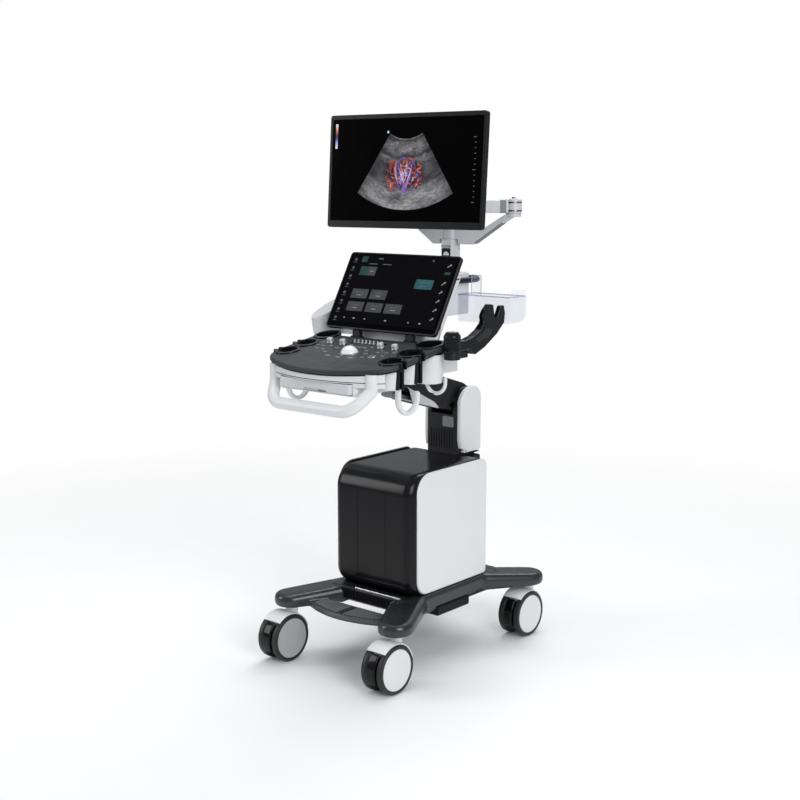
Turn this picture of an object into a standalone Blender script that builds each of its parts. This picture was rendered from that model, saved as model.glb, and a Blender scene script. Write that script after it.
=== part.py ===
"""Cart-based ultrasound scanner, built from separate named pieces.

Units are metres and +Z is up. The machine's mid-plane is X = 0, its front (the operator's side) faces -Y,
and the floor is Z = 0. Every moving piece hangs on an empty that stands on its joint's axis.
"""

import math

import bmesh
import bpy
from mathutils import Matrix, Vector

GAP = 0.0003                       # between two pieces that touch

# Casters
WHEEL_RADIUS = 0.0625
WHEEL_INNER_X = 0.0155             # inner and outer face of each of the twin wheels
WHEEL_OUTER_X = 0.034
WHEEL_SIDES = 18
CASTER_TRAIL = 0.033
CASTER_WEB_X = 0.0145              # half width of the web between the twin wheels
STEM_RADIUS = 0.0165
HUB_RADIUS = 0.0125
HOOD_RADIUS = 0.0685
CASTERS = {
    "front_right": (0.1815, -0.2716),
    "front_left": (-0.1815, -0.2716),
    "rear_right": (0.1888, 0.2966),
    "rear_left": (-0.1888, 0.2966),
}

# Base and cabinet
BASE_BOTTOM = 0.137
BOSS_TOP = 0.173
BASE_TOP = 0.187
BOSS_RADIUS = 0.040
RAIL_X = 0.147
BASE_FRONT_Y = -0.178
BASE_REAR_Y = 0.238
CABINET_X = 0.133                  # half width of the black shell
CABINET_FRONT_Y = -0.157
CABINET_REAR_Y = 0.165
CABINET_TOP = 0.510
CABINET_WALL = 0.004
SIDE_PANEL_FRONT_Y = -0.131
SIDE_PANEL_X = 0.1385

# Column and lift arm
COLUMN_X = 0.0505
COLUMN_FRONT_Y = 0.141
COLUMN_REAR_Y = 0.235
COLUMN_WALL_TOP = 0.6225
POCKET_X = 0.0375
ARM_REAR = Vector((0.0, 0.185, 0.668))
ARM_FRONT = Vector((0.0, -0.060, 0.738))
LINK_OFFSET = Vector((0.0, -0.020, -0.0346))
ARM_X = 0.036
SKIRT_X = 0.0288                   # inner face of the arm's side skirts
LINK_X = 0.0245
FORK_X = 0.0168

# Console
CONSOLE_X = 0.2137                 # half width of the control panel
CONSOLE_FRONT_Y = -0.3865
CONSOLE_REAR_Y = -0.120
PANEL_Z = 0.8195                   # height of the panel's top surface at Y = PANEL_Y
PANEL_Y = -0.300
PANEL_SLOPE = 0.1812
PANEL_THICKNESS = 0.012
CONSOLE_BOTTOM = 0.765
DECK_TOP = 0.8395                  # flat rear deck of the console base
CONSOLE_PIVOT = Vector((0.0, -0.060, 0.765))
PROBE_CUPS = ((-0.280, 0.030, 0.757), (-0.210, 0.030, 0.764), (-0.130, 0.034, 0.756))
PROBE_CUP_X = 0.175
LINER_WALL = 0.0035
CUP_WALL = 0.0038
CUP_SIDES = 14
TRACKBALL = (0.0050, -0.2420)
TRACKBALL_RADIUS = 0.0235
KNOBS = ((-0.110, -0.189), (-0.064, -0.190), (0.064, -0.190), (0.110, -0.189))
FREEZE_BUTTON = (0.092, -0.255)

# Touch screen
TOUCH_CENTRE = Vector((0.0, -0.072, 0.970))
TOUCH_HALF = (0.187, 0.111)
TOUCH_TILT = math.radians(29.6)
TOUCH_THICKNESS = 0.030
TOUCH_PIVOT = Vector((0.0, -0.106, 0.8475))

# Monitor and its arm
ARM_HUB = Vector((0.0, 0.176, 1.1003))
ELBOW = Vector((0.165, 0.235, 1.1705))
YOKE = Vector((-0.0108, 0.0845, 1.2053))
MONITOR_YAW = math.radians(5.7)
MONITOR_TILT = math.radians(4.2)
MONITOR_HALF = (0.2425, 0.1475)
MONITOR_CENTRE_Z = 1.2755
TILT_AXIS = Vector((0.0, -0.046, 1.270))      # in the yoke's own frame, before its yaw
SCREEN_Y = -0.109

# Extras on the console's back
TAIL_X = 0.036
TAIL_REAR_Y = 0.199
CABLE_ARM = Vector((0.2372, -0.1220, 0.8378))
GEL_CUP = Vector((-0.247, -0.050, 0.842))


# ---------------------------------------------------------------- materials

def material(name, colour, roughness, metallic=0.0, alpha=1.0):
    """Return the named Principled material, made once."""
    found = bpy.data.materials.get(name)
    if found:
        return found
    made = bpy.data.materials.new(name)
    made.use_nodes = True
    shader = made.node_tree.nodes["Principled BSDF"]
    shader.inputs["Base Color"].default_value = (*colour, 1.0)
    shader.inputs["Roughness"].default_value = roughness
    shader.inputs["Metallic"].default_value = metallic
    shader.inputs["Alpha"].default_value = alpha
    made.diffuse_color = (*colour, alpha)
    return made


def white_plastic():
    return material("white_plastic", (0.80, 0.81, 0.82), 0.38)


def black_gloss():
    return material("black_gloss", (0.012, 0.012, 0.014), 0.16)


def black_satin():
    return material("black_satin", (0.022, 0.022, 0.025), 0.42)


def charcoal_satin():
    return material("charcoal_satin", (0.055, 0.057, 0.062), 0.40)


def grey_rubber():
    return material("grey_rubber", (0.10, 0.10, 0.105), 0.70)


def tyre_rubber():
    return material("tyre_rubber", (0.045, 0.046, 0.048), 0.62)


def silver_paint():
    return material("silver_paint", (0.56, 0.57, 0.58), 0.34, 0.35)


def steel():
    return material("steel", (0.45, 0.46, 0.47), 0.35, 1.0)


def clear_plastic():
    return material("clear_plastic", (0.72, 0.74, 0.90), 0.08, 0.0, 0.45)


def screen_glass():
    return material("screen_glass", (0.006, 0.006, 0.008), 0.08)


# ---------------------------------------------------------------- meshes

def mesh_from(points, faces):
    """Return a closed bmesh with its faces pointing out."""
    shape = bmesh.new()
    verts = [shape.verts.new(point) for point in points]
    for face in faces:
        shape.faces.new([verts[i] for i in face])
    bmesh.ops.remove_doubles(shape, verts=shape.verts, dist=1e-6)
    bmesh.ops.recalc_face_normals(shape, faces=shape.faces)
    return shape


def loft(sections):
    """Join equal closed loops of points, one after another, and cap both ends."""
    count = len(sections[0])
    points = [point for section in sections for point in section]
    faces = []
    for s in range(len(sections) - 1):
        for i in range(count):
            j = (i + 1) % count
            faces.append((s * count + i, s * count + j, (s + 1) * count + j, (s + 1) * count + i))
    faces.append(tuple(range(count)))
    faces.append(tuple((len(sections) - 1) * count + i for i in range(count)))
    return mesh_from(points, faces)


def on_axis(axis, u, v, along):
    """Place (u, v) in the plane across an axis: X gives (y, z), Y gives (x, z), Z gives (x, y)."""
    if axis == "X":
        return (along, u, v)
    if axis == "Y":
        return (u, along, v)
    return (u, v, along)


def prism(outline, axis, low, high):
    """Extrude a flat outline along an axis."""
    return loft([[on_axis(axis, u, v, along) for u, v in outline] for along in (low, high)])


def box(low, high):
    """Return a plain block between two corners."""
    outline = [(low[0], low[1]), (high[0], low[1]), (high[0], high[1]), (low[0], high[1])]
    return prism(outline, "Z", low[2], high[2])


def rounded_box(low, high, radius, axis="Z", steps=3):
    """Return a block whose edges along one axis are round."""
    first, second = {"X": (1, 2), "Y": (0, 2), "Z": (0, 1)}[axis]
    along = 3 - first - second
    outline = rounded_outline(low[first], high[first], low[second], high[second], radius, steps)
    return prism(outline, axis, low[along], high[along])


def arc(centre, radius, start, end, steps):
    """Return points on an arc between two angles in degrees, both ends included."""
    points = []
    for i in range(steps + 1):
        angle = math.radians(start + (end - start) * i / steps)
        points.append((centre[0] + radius * math.cos(angle), centre[1] + radius * math.sin(angle)))
    return points


def rounded_outline(u0, u1, v0, v1, radius, steps=3):
    """Return a rectangle with round corners. radius is one number, or four from (u0, v0) counterclockwise."""
    radii = radius if isinstance(radius, tuple) else (radius,) * 4
    corners = ((u0, v0, 1, 1, 180), (u1, v0, -1, 1, 270), (u1, v1, -1, -1, 0), (u0, v1, 1, -1, 90))
    outline = []
    for (u, v, du, dv, start), r in zip(corners, radii):
        if r <= 0.0:
            outline.append((u, v))
        else:
            outline += arc((u + du * r, v + dv * r), r, start, start + 90, steps)
    return outline


def turned(profile, centre, axis="Z", sides=16, turn=0.0):
    """Turn (radius, height) points about an axis through centre. The profile is a closed outline."""
    points = []
    for i in range(sides):
        angle = 2.0 * math.pi * (i + turn) / sides
        for radius, height in profile:
            u = radius * math.cos(angle)
            v = radius * math.sin(angle)
            points.append(Vector(on_axis(axis, u, v, height)) + Vector(centre))
    count = len(profile)
    faces = []
    for i in range(sides):
        after = (i + 1) % sides
        for k in range(count):
            n = (k + 1) % count
            corners = [i * count + k, after * count + k, after * count + n, i * count + n]
            if profile[k][0] == 0.0 and profile[n][0] == 0.0:
                continue
            if profile[k][0] == 0.0:
                corners.pop(1)
            elif profile[n][0] == 0.0:
                corners.pop(2)
            faces.append(tuple(corners))
    return mesh_from(points, faces)


def cylinder(centre, radius, low, high, axis="Z", sides=16, turn=0.0):
    """Return a solid cylinder whose heights are measured from centre."""
    profile = [(0.0, low), (radius, low), (radius, high), (0.0, high)]
    return turned(profile, centre, axis, sides, turn)


def tube(path, radius, sides=10):
    """Sweep a round section along a path of points, with flat ends."""
    path = [Vector(point) for point in path]
    tangents = []
    for i in range(len(path)):
        before = (path[i] - path[i - 1]).normalized() if i else Vector()
        after = (path[i + 1] - path[i]).normalized() if i < len(path) - 1 else Vector()
        tangents.append((before + after).normalized())
    side = tangents[0].orthogonal().normalized()
    sections = []
    for point, tangent in zip(path, tangents):
        side = (side - tangent * side.dot(tangent)).normalized()
        other = tangent.cross(side)
        ring = []
        for i in range(sides):
            angle = 2.0 * math.pi * i / sides
            ring.append(point + (side * math.cos(angle) + other * math.sin(angle)) * radius)
        sections.append(ring)
    return loft(sections)


def panel_z(y, depth=0.0):
    """Return the height of the sloping control panel at y, less a depth."""
    return PANEL_Z + PANEL_SLOPE * (y - PANEL_Y) - depth


def sloping_plate(outline, top, bottom):
    """Extrude an outline between two depths below the control panel's top surface."""
    sections = [[(x, y, panel_z(y, depth)) for x, y in outline] for depth in (bottom, top)]
    return loft(sections)


def bevelled(shape, width, segments=2, angle=30.0):
    """Round the edges that are sharper than an angle."""
    sharp = [edge for edge in shape.edges if edge.is_manifold and edge.calc_face_angle() > math.radians(angle)]
    bmesh.ops.bevel(shape, geom=sharp, offset=width, segments=segments, affect="EDGES", profile=0.5,
                    clamp_overlap=True)
    return shape


def moved(shape, matrix):
    """Transform a bmesh."""
    shape.transform(matrix)
    return shape


# ---------------------------------------------------------------- objects

def combine(operation, shape, others):
    """Apply an exact Boolean to a bmesh for each of the other shapes, and return the result."""
    holder = holder_of(shape)
    tools = []
    for other in others:
        tool = holder_of(other)
        tools.append(tool)
        cut = holder.modifiers.new("combine", "BOOLEAN")
        cut.operation = operation
        cut.solver = "EXACT"
        cut.object = tool
    bpy.context.view_layer.update()
    evaluated = holder.evaluated_get(bpy.context.evaluated_depsgraph_get())
    result = bmesh.new()
    result.from_mesh(evaluated.to_mesh())
    evaluated.to_mesh_clear()
    for thing in [holder] + tools:
        mesh = thing.data
        bpy.data.objects.remove(thing)
        bpy.data.meshes.remove(mesh)
    bmesh.ops.remove_doubles(result, verts=result.verts, dist=2e-6)
    bmesh.ops.dissolve_limit(result, angle_limit=math.radians(0.5), verts=result.verts, edges=result.edges)
    return result


def holder_of(shape):
    """Put a bmesh into a temporary object."""
    mesh = bpy.data.meshes.new("temporary")
    shape.to_mesh(mesh)
    shape.free()
    thing = bpy.data.objects.new("temporary", mesh)
    bpy.context.collection.objects.link(thing)
    return thing


def union(shape, *others):
    return combine("UNION", shape, others)


def cut(shape, *others):
    return combine("DIFFERENCE", shape, others)


def pivot(name, location, parent):
    """Make the empty that stands on a joint's axis."""
    empty = bpy.data.objects.new(name, None)
    empty.empty_display_size = 0.03
    empty.location = Vector(location) - (Vector(parent["place"]) if parent else Vector())
    empty.parent = parent
    empty["place"] = tuple(location)
    bpy.context.collection.objects.link(empty)
    return empty


def piece(name, shape, finish, parent):
    """Turn a bmesh in world coordinates into a named object that hangs on its pivot."""
    shape.transform(Matrix.Translation(-Vector(parent["place"])))
    bmesh.ops.recalc_face_normals(shape, faces=shape.faces)
    bmesh.ops.triangulate(shape, faces=[face for face in shape.faces if len(face.verts) > 4])
    mesh = bpy.data.meshes.new(name)
    shape.to_mesh(mesh)
    shape.free()
    mesh.materials.append(finish)
    mesh.shade_smooth()
    mesh.set_sharp_from_angle(angle=math.radians(35))
    thing = bpy.data.objects.new(name, mesh)
    thing.parent = parent
    bpy.context.collection.objects.link(thing)
    return thing


# ---------------------------------------------------------------- casters

def wheel_point(radius, angle):
    """Return a (y, z) point about the axle, at an angle in degrees from the front, upwards."""
    return (-radius * math.cos(math.radians(angle)), radius * math.sin(math.radians(angle)))


def sector(inner, outer, start, end, steps):
    """Return a ring sector about the axle as (y, z) points."""
    angles = [start + (end - start) * i / steps for i in range(steps + 1)]
    return [wheel_point(outer, a) for a in angles] + [wheel_point(inner, a) for a in reversed(angles)]


def caster_housing(stem, axle):
    """Web, hood, stem and axle stubs in one casting."""
    web = [wheel_point(HOOD_RADIUS - 0.003, a) for a in range(52, 173, 20)]
    web += [wheel_point(HUB_RADIUS, a) for a in (190, 230, 270, 310, 350, 30, 51)]
    shape = prism(web, "X", -CASTER_WEB_X, CASTER_WEB_X)
    hood = prism(sector(HOOD_RADIUS - 0.004, HOOD_RADIUS, 50, 165, 6), "X", -0.030, 0.030)
    stubs = cylinder((0, 0, 0), 0.006, -0.0275, 0.0275, "X", 10)
    rise = Vector(stem) - Vector(axle)
    post = cylinder(rise, STEM_RADIUS, 0.055 - rise.z, BASE_BOTTOM + 0.0225 - stem[2], "Z", 12)
    shape = union(shape, hood, stubs, post)
    return moved(shape, Matrix.Translation(axle))


def brake_lever(axle):
    """Foot lever at the front, between the wheels, which turns on the hub."""
    outline = sector(HUB_RADIUS + 0.0008, 0.066, -26, 46, 6)
    shape = prism(outline, "X", -CASTER_WEB_X + 0.001, CASTER_WEB_X - 0.001)
    return moved(shape, Matrix.Translation(axle))


def wheel(side, axle):
    """One of the twin wheels: tyre, flat disc and the blind bore for its axle stub."""
    rim = WHEEL_RADIUS / math.cos(math.pi / WHEEL_SIDES)
    profile = [
        (0.0, WHEEL_OUTER_X - 0.001), (0.048, WHEEL_OUTER_X - 0.001), (0.059, WHEEL_OUTER_X),
        (rim, WHEEL_OUTER_X - 0.004), (rim, WHEEL_INNER_X + 0.004), (0.059, WHEEL_INNER_X),
        (0.0072, WHEEL_INNER_X), (0.0072, 0.0285), (0.0, 0.0285),
    ]
    profile = [(radius, side * x) for radius, x in profile]
    return turned(profile, axle, "X", WHEEL_SIDES)


def add_casters(root):
    """Four twin-wheel swivel casters, each with two wheels and a brake lever."""
    for name, (x, y) in CASTERS.items():
        stem = (x, y, 0.0)
        axle = Vector((x, y - CASTER_TRAIL, WHEEL_RADIUS))
        swivel = pivot("swivel_" + name, (x, y, WHEEL_RADIUS), root)
        hub = pivot("axle_" + name, axle, swivel)
        piece("caster_housing_" + name, caster_housing(stem, axle), silver_paint(), swivel)
        piece("brake_lever_" + name, brake_lever(axle), black_gloss(), hub)
        piece("wheel_outer_" + name, wheel(1, axle), tyre_rubber(), hub)
        piece("wheel_inner_" + name, wheel(-1, axle), tyre_rubber(), hub)


# ---------------------------------------------------------------- base and cabinet

def leg(foot, body, foot_width, body_width):
    """A leg from a caster boss up to the frame's body."""
    foot = Vector((*foot, 0.0))
    body = Vector((*body, 0.0))
    across = (body - foot).normalized().cross(Vector((0, 0, 1)))
    sections = []
    for place, width, top in ((foot, foot_width, BOSS_TOP), (body, body_width, BASE_TOP)):
        low = BASE_BOTTOM
        edge = 0.010
        half = width / 2.0
        profile = [(-half + edge, low), (half - edge, low), (half, low + edge), (half, top - edge),
                   (half - edge, top), (-half + edge, top), (-half, top - edge), (-half, low + edge)]
        sections.append([place + across * u + Vector((0, 0, z)) for u, z in profile])
    return loft(sections)


def footrest_outline(half, inset):
    """Curved bar between the front legs, in plan."""
    front = []
    rear = []
    for i in range(9):
        x = -half + 2.0 * half * i / 8
        bow = 1.0 - (x / 0.150) ** 2
        front.append((x, -0.250 - 0.043 * bow + inset))
        rear.append((x, -0.212 - 0.020 * bow - inset))
    return front + rear[::-1]


def base_frame():
    """One casting: body, four legs with caster bosses, footrest bar and belly tray."""
    shape = rounded_box((-RAIL_X, BASE_FRONT_Y, BASE_BOTTOM), (RAIL_X, BASE_REAR_Y, BASE_TOP), 0.03)
    shape = bevelled(shape, 0.008, 2, 60)
    parts = [prism(footrest_outline(0.150, 0.0), "Z", BASE_BOTTOM + 0.003, 0.160)]
    parts.append(box((-0.152, -0.085, 0.1225), (0.152, 0.075, BASE_BOTTOM + 0.01)))
    for name, (x, y) in CASTERS.items():
        side = math.copysign(1.0, x)
        end = math.copysign(1.0, y)
        inner = (side * 0.105, -0.110 if end < 0 else 0.150)
        parts.append(leg((x, y), inner, 0.074, 0.092))
        boss_top = BOSS_TOP + 0.001
        boss = [(0.0, BASE_BOTTOM), (BOSS_RADIUS - 0.008, BASE_BOTTOM), (BOSS_RADIUS, BASE_BOTTOM + 0.008),
                (BOSS_RADIUS, boss_top - 0.011), (BOSS_RADIUS - 0.010, boss_top), (0.0, boss_top)]
        parts.append(turned(boss, (x, y, 0.0), "Z", 16))
    shape = union(shape, *parts)
    holes = []
    for x, y in CASTERS.values():
        holes.append(cylinder((x, y, 0.0), STEM_RADIUS + 0.0008, 0.1, BASE_BOTTOM + 0.0232, "Z", 12))
    holes.append(box((-0.110, -0.120, 0.150), (0.110, 0.200, BASE_TOP + 0.01)))
    return cut(shape, *holes)


def footrest_tread():
    """Ribbed rubber tread on the footrest bar."""
    plate = prism(footrest_outline(0.104, 0.008), "Z", 0.160 + GAP, 0.1635)
    grooves = []
    for i in range(11):
        x = -0.090 + 0.018 * i
        grooves.append(box((x - 0.0035, -0.31, 0.1620), (x + 0.0035, -0.20, 0.17)))
    return cut(plate, *grooves)


def cabinet_shell():
    """Black shell: front, top, bottom and side walls, open at the back."""
    bottom = BASE_TOP + GAP
    steps = 5
    outer = rounded_outline(CABINET_FRONT_Y, CABINET_REAR_Y, bottom, CABINET_TOP,
                            (0.044, 0.004, 0.012, 0.056), steps)
    shape = prism(outer, "X", -CABINET_X, CABINET_X)
    upright = []
    for x in (-CABINET_X, CABINET_X):
        for edge in shape.edges:
            a, b = edge.verts
            on_side = abs(a.co.x - x) < 1e-6 and abs(b.co.x - x) < 1e-6
            if on_side and max(a.co.y, b.co.y) < CABINET_REAR_Y - 0.02:
                upright.append(edge)
    bmesh.ops.bevel(shape, geom=upright, offset=0.026, segments=4, affect="EDGES", profile=0.5)
    inner = rounded_outline(CABINET_FRONT_Y + CABINET_WALL, CABINET_REAR_Y + 0.02, bottom + CABINET_WALL,
                            CABINET_TOP - CABINET_WALL, (0.044, 0.0, 0.0, 0.056), 3)
    cavity = prism(inner, "X", -CABINET_X + 0.006, CABINET_X - 0.006)
    return cut(shape, cavity)


def cabinet_side(side):
    """White side panel with large round corners."""
    outline = rounded_outline(SIDE_PANEL_FRONT_Y, CABINET_REAR_Y + 0.001, 0.190, CABINET_TOP + 0.002,
                              (0.040, 0.012, 0.020, 0.052), 6)
    inner = CABINET_X + GAP
    ends = sorted((side * inner, side * SIDE_PANEL_X))
    shape = prism(outline, "X", *ends)
    rim = [edge for edge in shape.edges if all(abs(abs(v.co.x) - SIDE_PANEL_X) < 1e-6 for v in edge.verts)]
    bmesh.ops.bevel(shape, geom=rim, offset=0.0035, segments=2, affect="EDGES", profile=0.5)
    return shape


def rear_cover():
    """Vented cover on the cabinet's back, bulging round the column's spine."""
    plate = box((-0.124, CABINET_REAR_Y + GAP, 0.200), (0.124, CABINET_REAR_Y + 0.004, 0.500))
    slots = [box((-COLUMN_X, 0.10, 0.19), (COLUMN_X, 0.30, 0.51))]
    for side in (-1, 1):
        for i in range(7):
            z = 0.235 + 0.022 * i
            slots.append(box((side * 0.0875 - 0.026, 0.10, z), (side * 0.0875 + 0.026, 0.30, z + 0.008)))
    shape = cut(plate, *slots[1:])
    hood = box((-0.062, CABINET_REAR_Y + 0.002, 0.190 + 0.010), (0.062, COLUMN_REAR_Y + 0.010, 0.500))
    shape = union(shape, hood)
    hollow = box((-0.056, 0.10, 0.150), (0.056, COLUMN_REAR_Y + 0.006, 0.55))
    return cut(shape, hollow)


def electronics_module():
    """Processing unit in a metal cage inside the cabinet."""
    shape = box((-0.112, -0.120, BASE_TOP + 0.012), (0.112, 0.140, 0.440))
    feet = []
    floor = BASE_TOP + CABINET_WALL + 2 * GAP
    for x in (-0.09, 0.09):
        feet.append(box((x - 0.01, -0.110, floor), (x + 0.01, 0.130, BASE_TOP + 0.02)))
    shape = union(shape, *feet)
    fins = [box((-0.10 + 0.025 * i, -0.13, 0.415), (-0.09 + 0.025 * i, 0.15, 0.45)) for i in range(8)]
    return cut(shape, *fins)


# ---------------------------------------------------------------- column and lift

def column_core():
    """Column with its foot on the cabinet, cheeks for the arm, and a spine behind the cabinet."""
    top = 0.690
    low = CABINET_TOP + GAP
    cheek = [(COLUMN_FRONT_Y, low), (COLUMN_REAR_Y, low), (COLUMN_REAR_Y, 0.660)]
    cheek += arc((0.203, 0.664), 0.032, 0, 90, 3)
    cheek += arc((0.180, 0.666), 0.030, 90, 150, 3) + [(COLUMN_FRONT_Y, COLUMN_WALL_TOP + 0.005)]
    shape = prism(cheek, "X", -COLUMN_X, COLUMN_X)
    spine = box((-0.045, CABINET_REAR_Y + 0.006, BASE_TOP + GAP), (0.045, COLUMN_REAR_Y, low + 0.02))
    foot_low = [(x, y, low) for x, y in rounded_outline(-0.0615, 0.0615, 0.1315, 0.2395, 0.012)]
    foot_high = [(x, y, low + 0.004) for x, y in rounded_outline(-0.0600, 0.0600, 0.1330, 0.2380, 0.012)]
    shape = union(shape, spine, loft([foot_low, foot_high]))
    pocket = box((-POCKET_X, 0.152, 0.612), (POCKET_X, 0.2265, 0.75))
    mouth = box((-POCKET_X, 0.10, COLUMN_WALL_TOP), (POCKET_X, 0.20, 0.75))
    pins = []
    for centre, radius in ((ARM_REAR, 0.0072), (ARM_REAR + LINK_OFFSET, 0.0060)):
        pins.append(cylinder(centre, radius, -0.0465, 0.0465, "X", 12))
    ribs = []
    for i in range(7):
        x = -0.036 + 0.012 * i
        ribs.append(box((x - 0.0015, 0.12, 0.526), (x + 0.0015, COLUMN_FRONT_Y + 0.0015, 0.600)))
    return cut(shape, pocket, mouth, *pins, *ribs)


def column_cover(side):
    """White cover on the column's side, with a round top and a bowed front edge."""
    front = 0.1475
    rear = 0.2380
    low = CABINET_TOP + 0.0048
    outline = [(front + 0.016, low), (rear - 0.006, low), (rear, low + 0.006), (rear, 0.662)]
    outline += arc((0.205, 0.665), 0.033, 0, 90, 4)
    outline += arc((0.198, 0.643), 0.055, 95, 165, 4)
    outline += [(front - 0.002, 0.600), (front - 0.003, 0.545), (front + 0.003, low + 0.010)]
    ends = sorted((side * (COLUMN_X + GAP), side * 0.064))
    shape = prism(outline, "X", *ends)
    rim = [edge for edge in shape.edges if all(abs(abs(v.co.x) - 0.064) < 1e-6 for v in edge.verts)]
    bmesh.ops.bevel(shape, geom=rim, offset=0.004, segments=2, affect="EDGES", profile=0.5)
    return shape


def arm_frame():
    """Return the matrix from the arm's frame (along, up) to the world: rear pivot at the origin."""
    along = (ARM_FRONT - ARM_REAR).normalized()
    across = Vector((1.0, 0.0, 0.0))
    up = Vector((0.0, -along.z, along.y)) * -1.0
    return Matrix((
        (across.x, along.x, up.x, ARM_REAR.x),
        (across.y, along.y, up.y, ARM_REAR.y),
        (across.z, along.z, up.z, ARM_REAR.z),
        (0.0, 0.0, 0.0, 1.0),
    ))


def lift_arm():
    """Upper lift arm: pivot stubs at the rear, a fork at the front."""
    length = (ARM_FRONT - ARM_REAR).length
    outline = arc((0.0, 0.004), 0.033, 250, 100, 6)
    outline += [(0.010, 0.040), (0.120, 0.040), (0.150, 0.026), (0.190, 0.0160)]
    outline += arc((length, 0.0), 0.0160, 90, -90, 5)
    outline += [(length - 0.034, -0.024), (length - 0.046, -0.046), (0.056, -0.046), (0.041, -0.0235),
                (0.020, -0.0235)]
    shape = bevelled(prism(outline, "X", -ARM_X, ARM_X), 0.004, 1, 60)
    stubs = cylinder((0, 0, 0), 0.0065, -0.0460, 0.0460, "X", 12)
    shape = union(shape, stubs)
    slot = box((-FORK_X, length - 0.036, -0.03), (FORK_X, length + 0.03, 0.05))
    channel = box((-SKIRT_X, 0.030, -0.060), (SKIRT_X, length - 0.020, -0.0230))
    holes = cylinder((0, length, 0), 0.0068, -0.0285, 0.0285, "X", 12)
    shape = cut(shape, slot, channel, holes)
    return moved(shape, arm_frame())


def lift_link():
    """Lower parallel link under the arm."""
    length = (ARM_FRONT - ARM_REAR).length
    outline = arc((0.0, 0.0), 0.0085, 270, 90, 4) + [(0.012, 0.0055), (length - 0.012, 0.0055)]
    outline += arc((length, 0.0), 0.0085, 90, -90, 4) + [(length - 0.012, -0.0055), (0.012, -0.0055)]
    shape = prism(outline, "X", -LINK_X, LINK_X)
    stubs = cylinder((0, 0, 0), 0.0052, -0.0460, 0.0460, "X", 12)
    shape = union(shape, stubs)
    slot = box((-FORK_X, length - 0.030, -0.03), (FORK_X, length + 0.03, 0.05))
    holes = cylinder((0, length, 0), 0.0064, -0.0285, 0.0285, "X", 12)
    shape = cut(shape, slot, holes)
    return moved(shape, Matrix.Translation(LINK_OFFSET) @ arm_frame())


def console_carrier():
    """Head that both arms hold level, with the console's swivel plate and spigot."""
    front = ARM_FRONT
    lower = ARM_FRONT + LINK_OFFSET
    hull = arc((lower.y, lower.z), 0.010, 150, 330, 4)
    hull += [(front.y + 0.014, front.z - 0.006), (front.y + 0.014, 0.7575), (front.y - 0.030, 0.7575)]
    shape = prism(hull, "X", -0.016, 0.016)
    plate = cylinder((front.x, front.y, 0.0), 0.046, 0.7565, CONSOLE_BOTTOM - GAP, "Z", 20)
    spigot = cylinder((front.x, front.y, 0.0), 0.018, 0.760, 0.788, "Z", 16)
    upper_pin = cylinder(front, 0.0060, -0.028, 0.028, "X", 12)
    lower_pin = cylinder(lower, 0.0050, -0.0235, 0.0235, "X", 12)
    return union(shape, plate, spigot, upper_pin, lower_pin)


# ---------------------------------------------------------------- console

def mirrored(half):
    """Complete an outline from its right half, which runs from the rear to the front on the mid-plane."""
    return half + [(-x, y) for x, y in reversed(half) if x > 0.0]


def console_outline():
    """Plan of the control panel: straight sides, large round front corners and a bowed front edge."""
    half = [(CONSOLE_X, CONSOLE_REAR_Y), (CONSOLE_X, -0.2650), (0.2115, -0.2900), (0.2030, -0.3130),
            (0.1870, -0.3325), (0.1650, -0.3460), (0.1350, -0.3595), (0.0900, -0.3745), (0.0450, -0.3835),
            (0.0, CONSOLE_FRONT_Y)]
    return mirrored(half)


def console_base():
    """White console body with the drawer's pocket, the swivel bore and the trackball's well."""
    half = [(0.138, 0.030), (0.138, -0.3135), (0.184, -0.3135), (0.188, -0.3200), (0.180, -0.3320),
            (0.162, -0.3430), (0.132, -0.3550), (0.090, -0.3690), (0.045, -0.3775), (0.0, -0.3800)]
    outline = mirrored(half)
    knee_y = PANEL_Y + (DECK_TOP - PANEL_Z + PANEL_THICKNESS + GAP) / PANEL_SLOPE
    shape = prism(outline, "Z", CONSOLE_BOTTOM, 0.90)
    slope = [(-0.5, panel_z(-0.5, PANEL_THICKNESS + GAP)), (knee_y, DECK_TOP), (0.2, DECK_TOP), (0.2, 1.0),
             (-0.5, 1.0)]
    drawer_case = rounded_box((-0.127, -0.360, 0.742), (0.127, -0.190, 0.790), 0.012, "Z", 2)
    shape = union(shape, drawer_case)
    well = cylinder((TRACKBALL[0], TRACKBALL[1], 0.0), 0.0262, panel_z(TRACKBALL[1], 0.034), 0.90, "Z", 16)
    bore = cylinder((0.0, CONSOLE_PIVOT.y, 0.0), 0.0190, 0.70, 0.790, "Z", 16)
    pocket = box((-0.1205, -0.50, 0.7455), (0.1205, -0.196, 0.7745))
    return cut(shape, prism(slope, "X", -0.3, 0.3), well, bore, pocket)


def cup_slot(side, y, low, high, width, inner):
    """Cutter for the cable slot on a probe cup's outer side."""
    ends = sorted((side * inner, side * 0.24))
    return box((ends[0], y - width / 2, low), (ends[1], y + width / 2, high))


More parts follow.
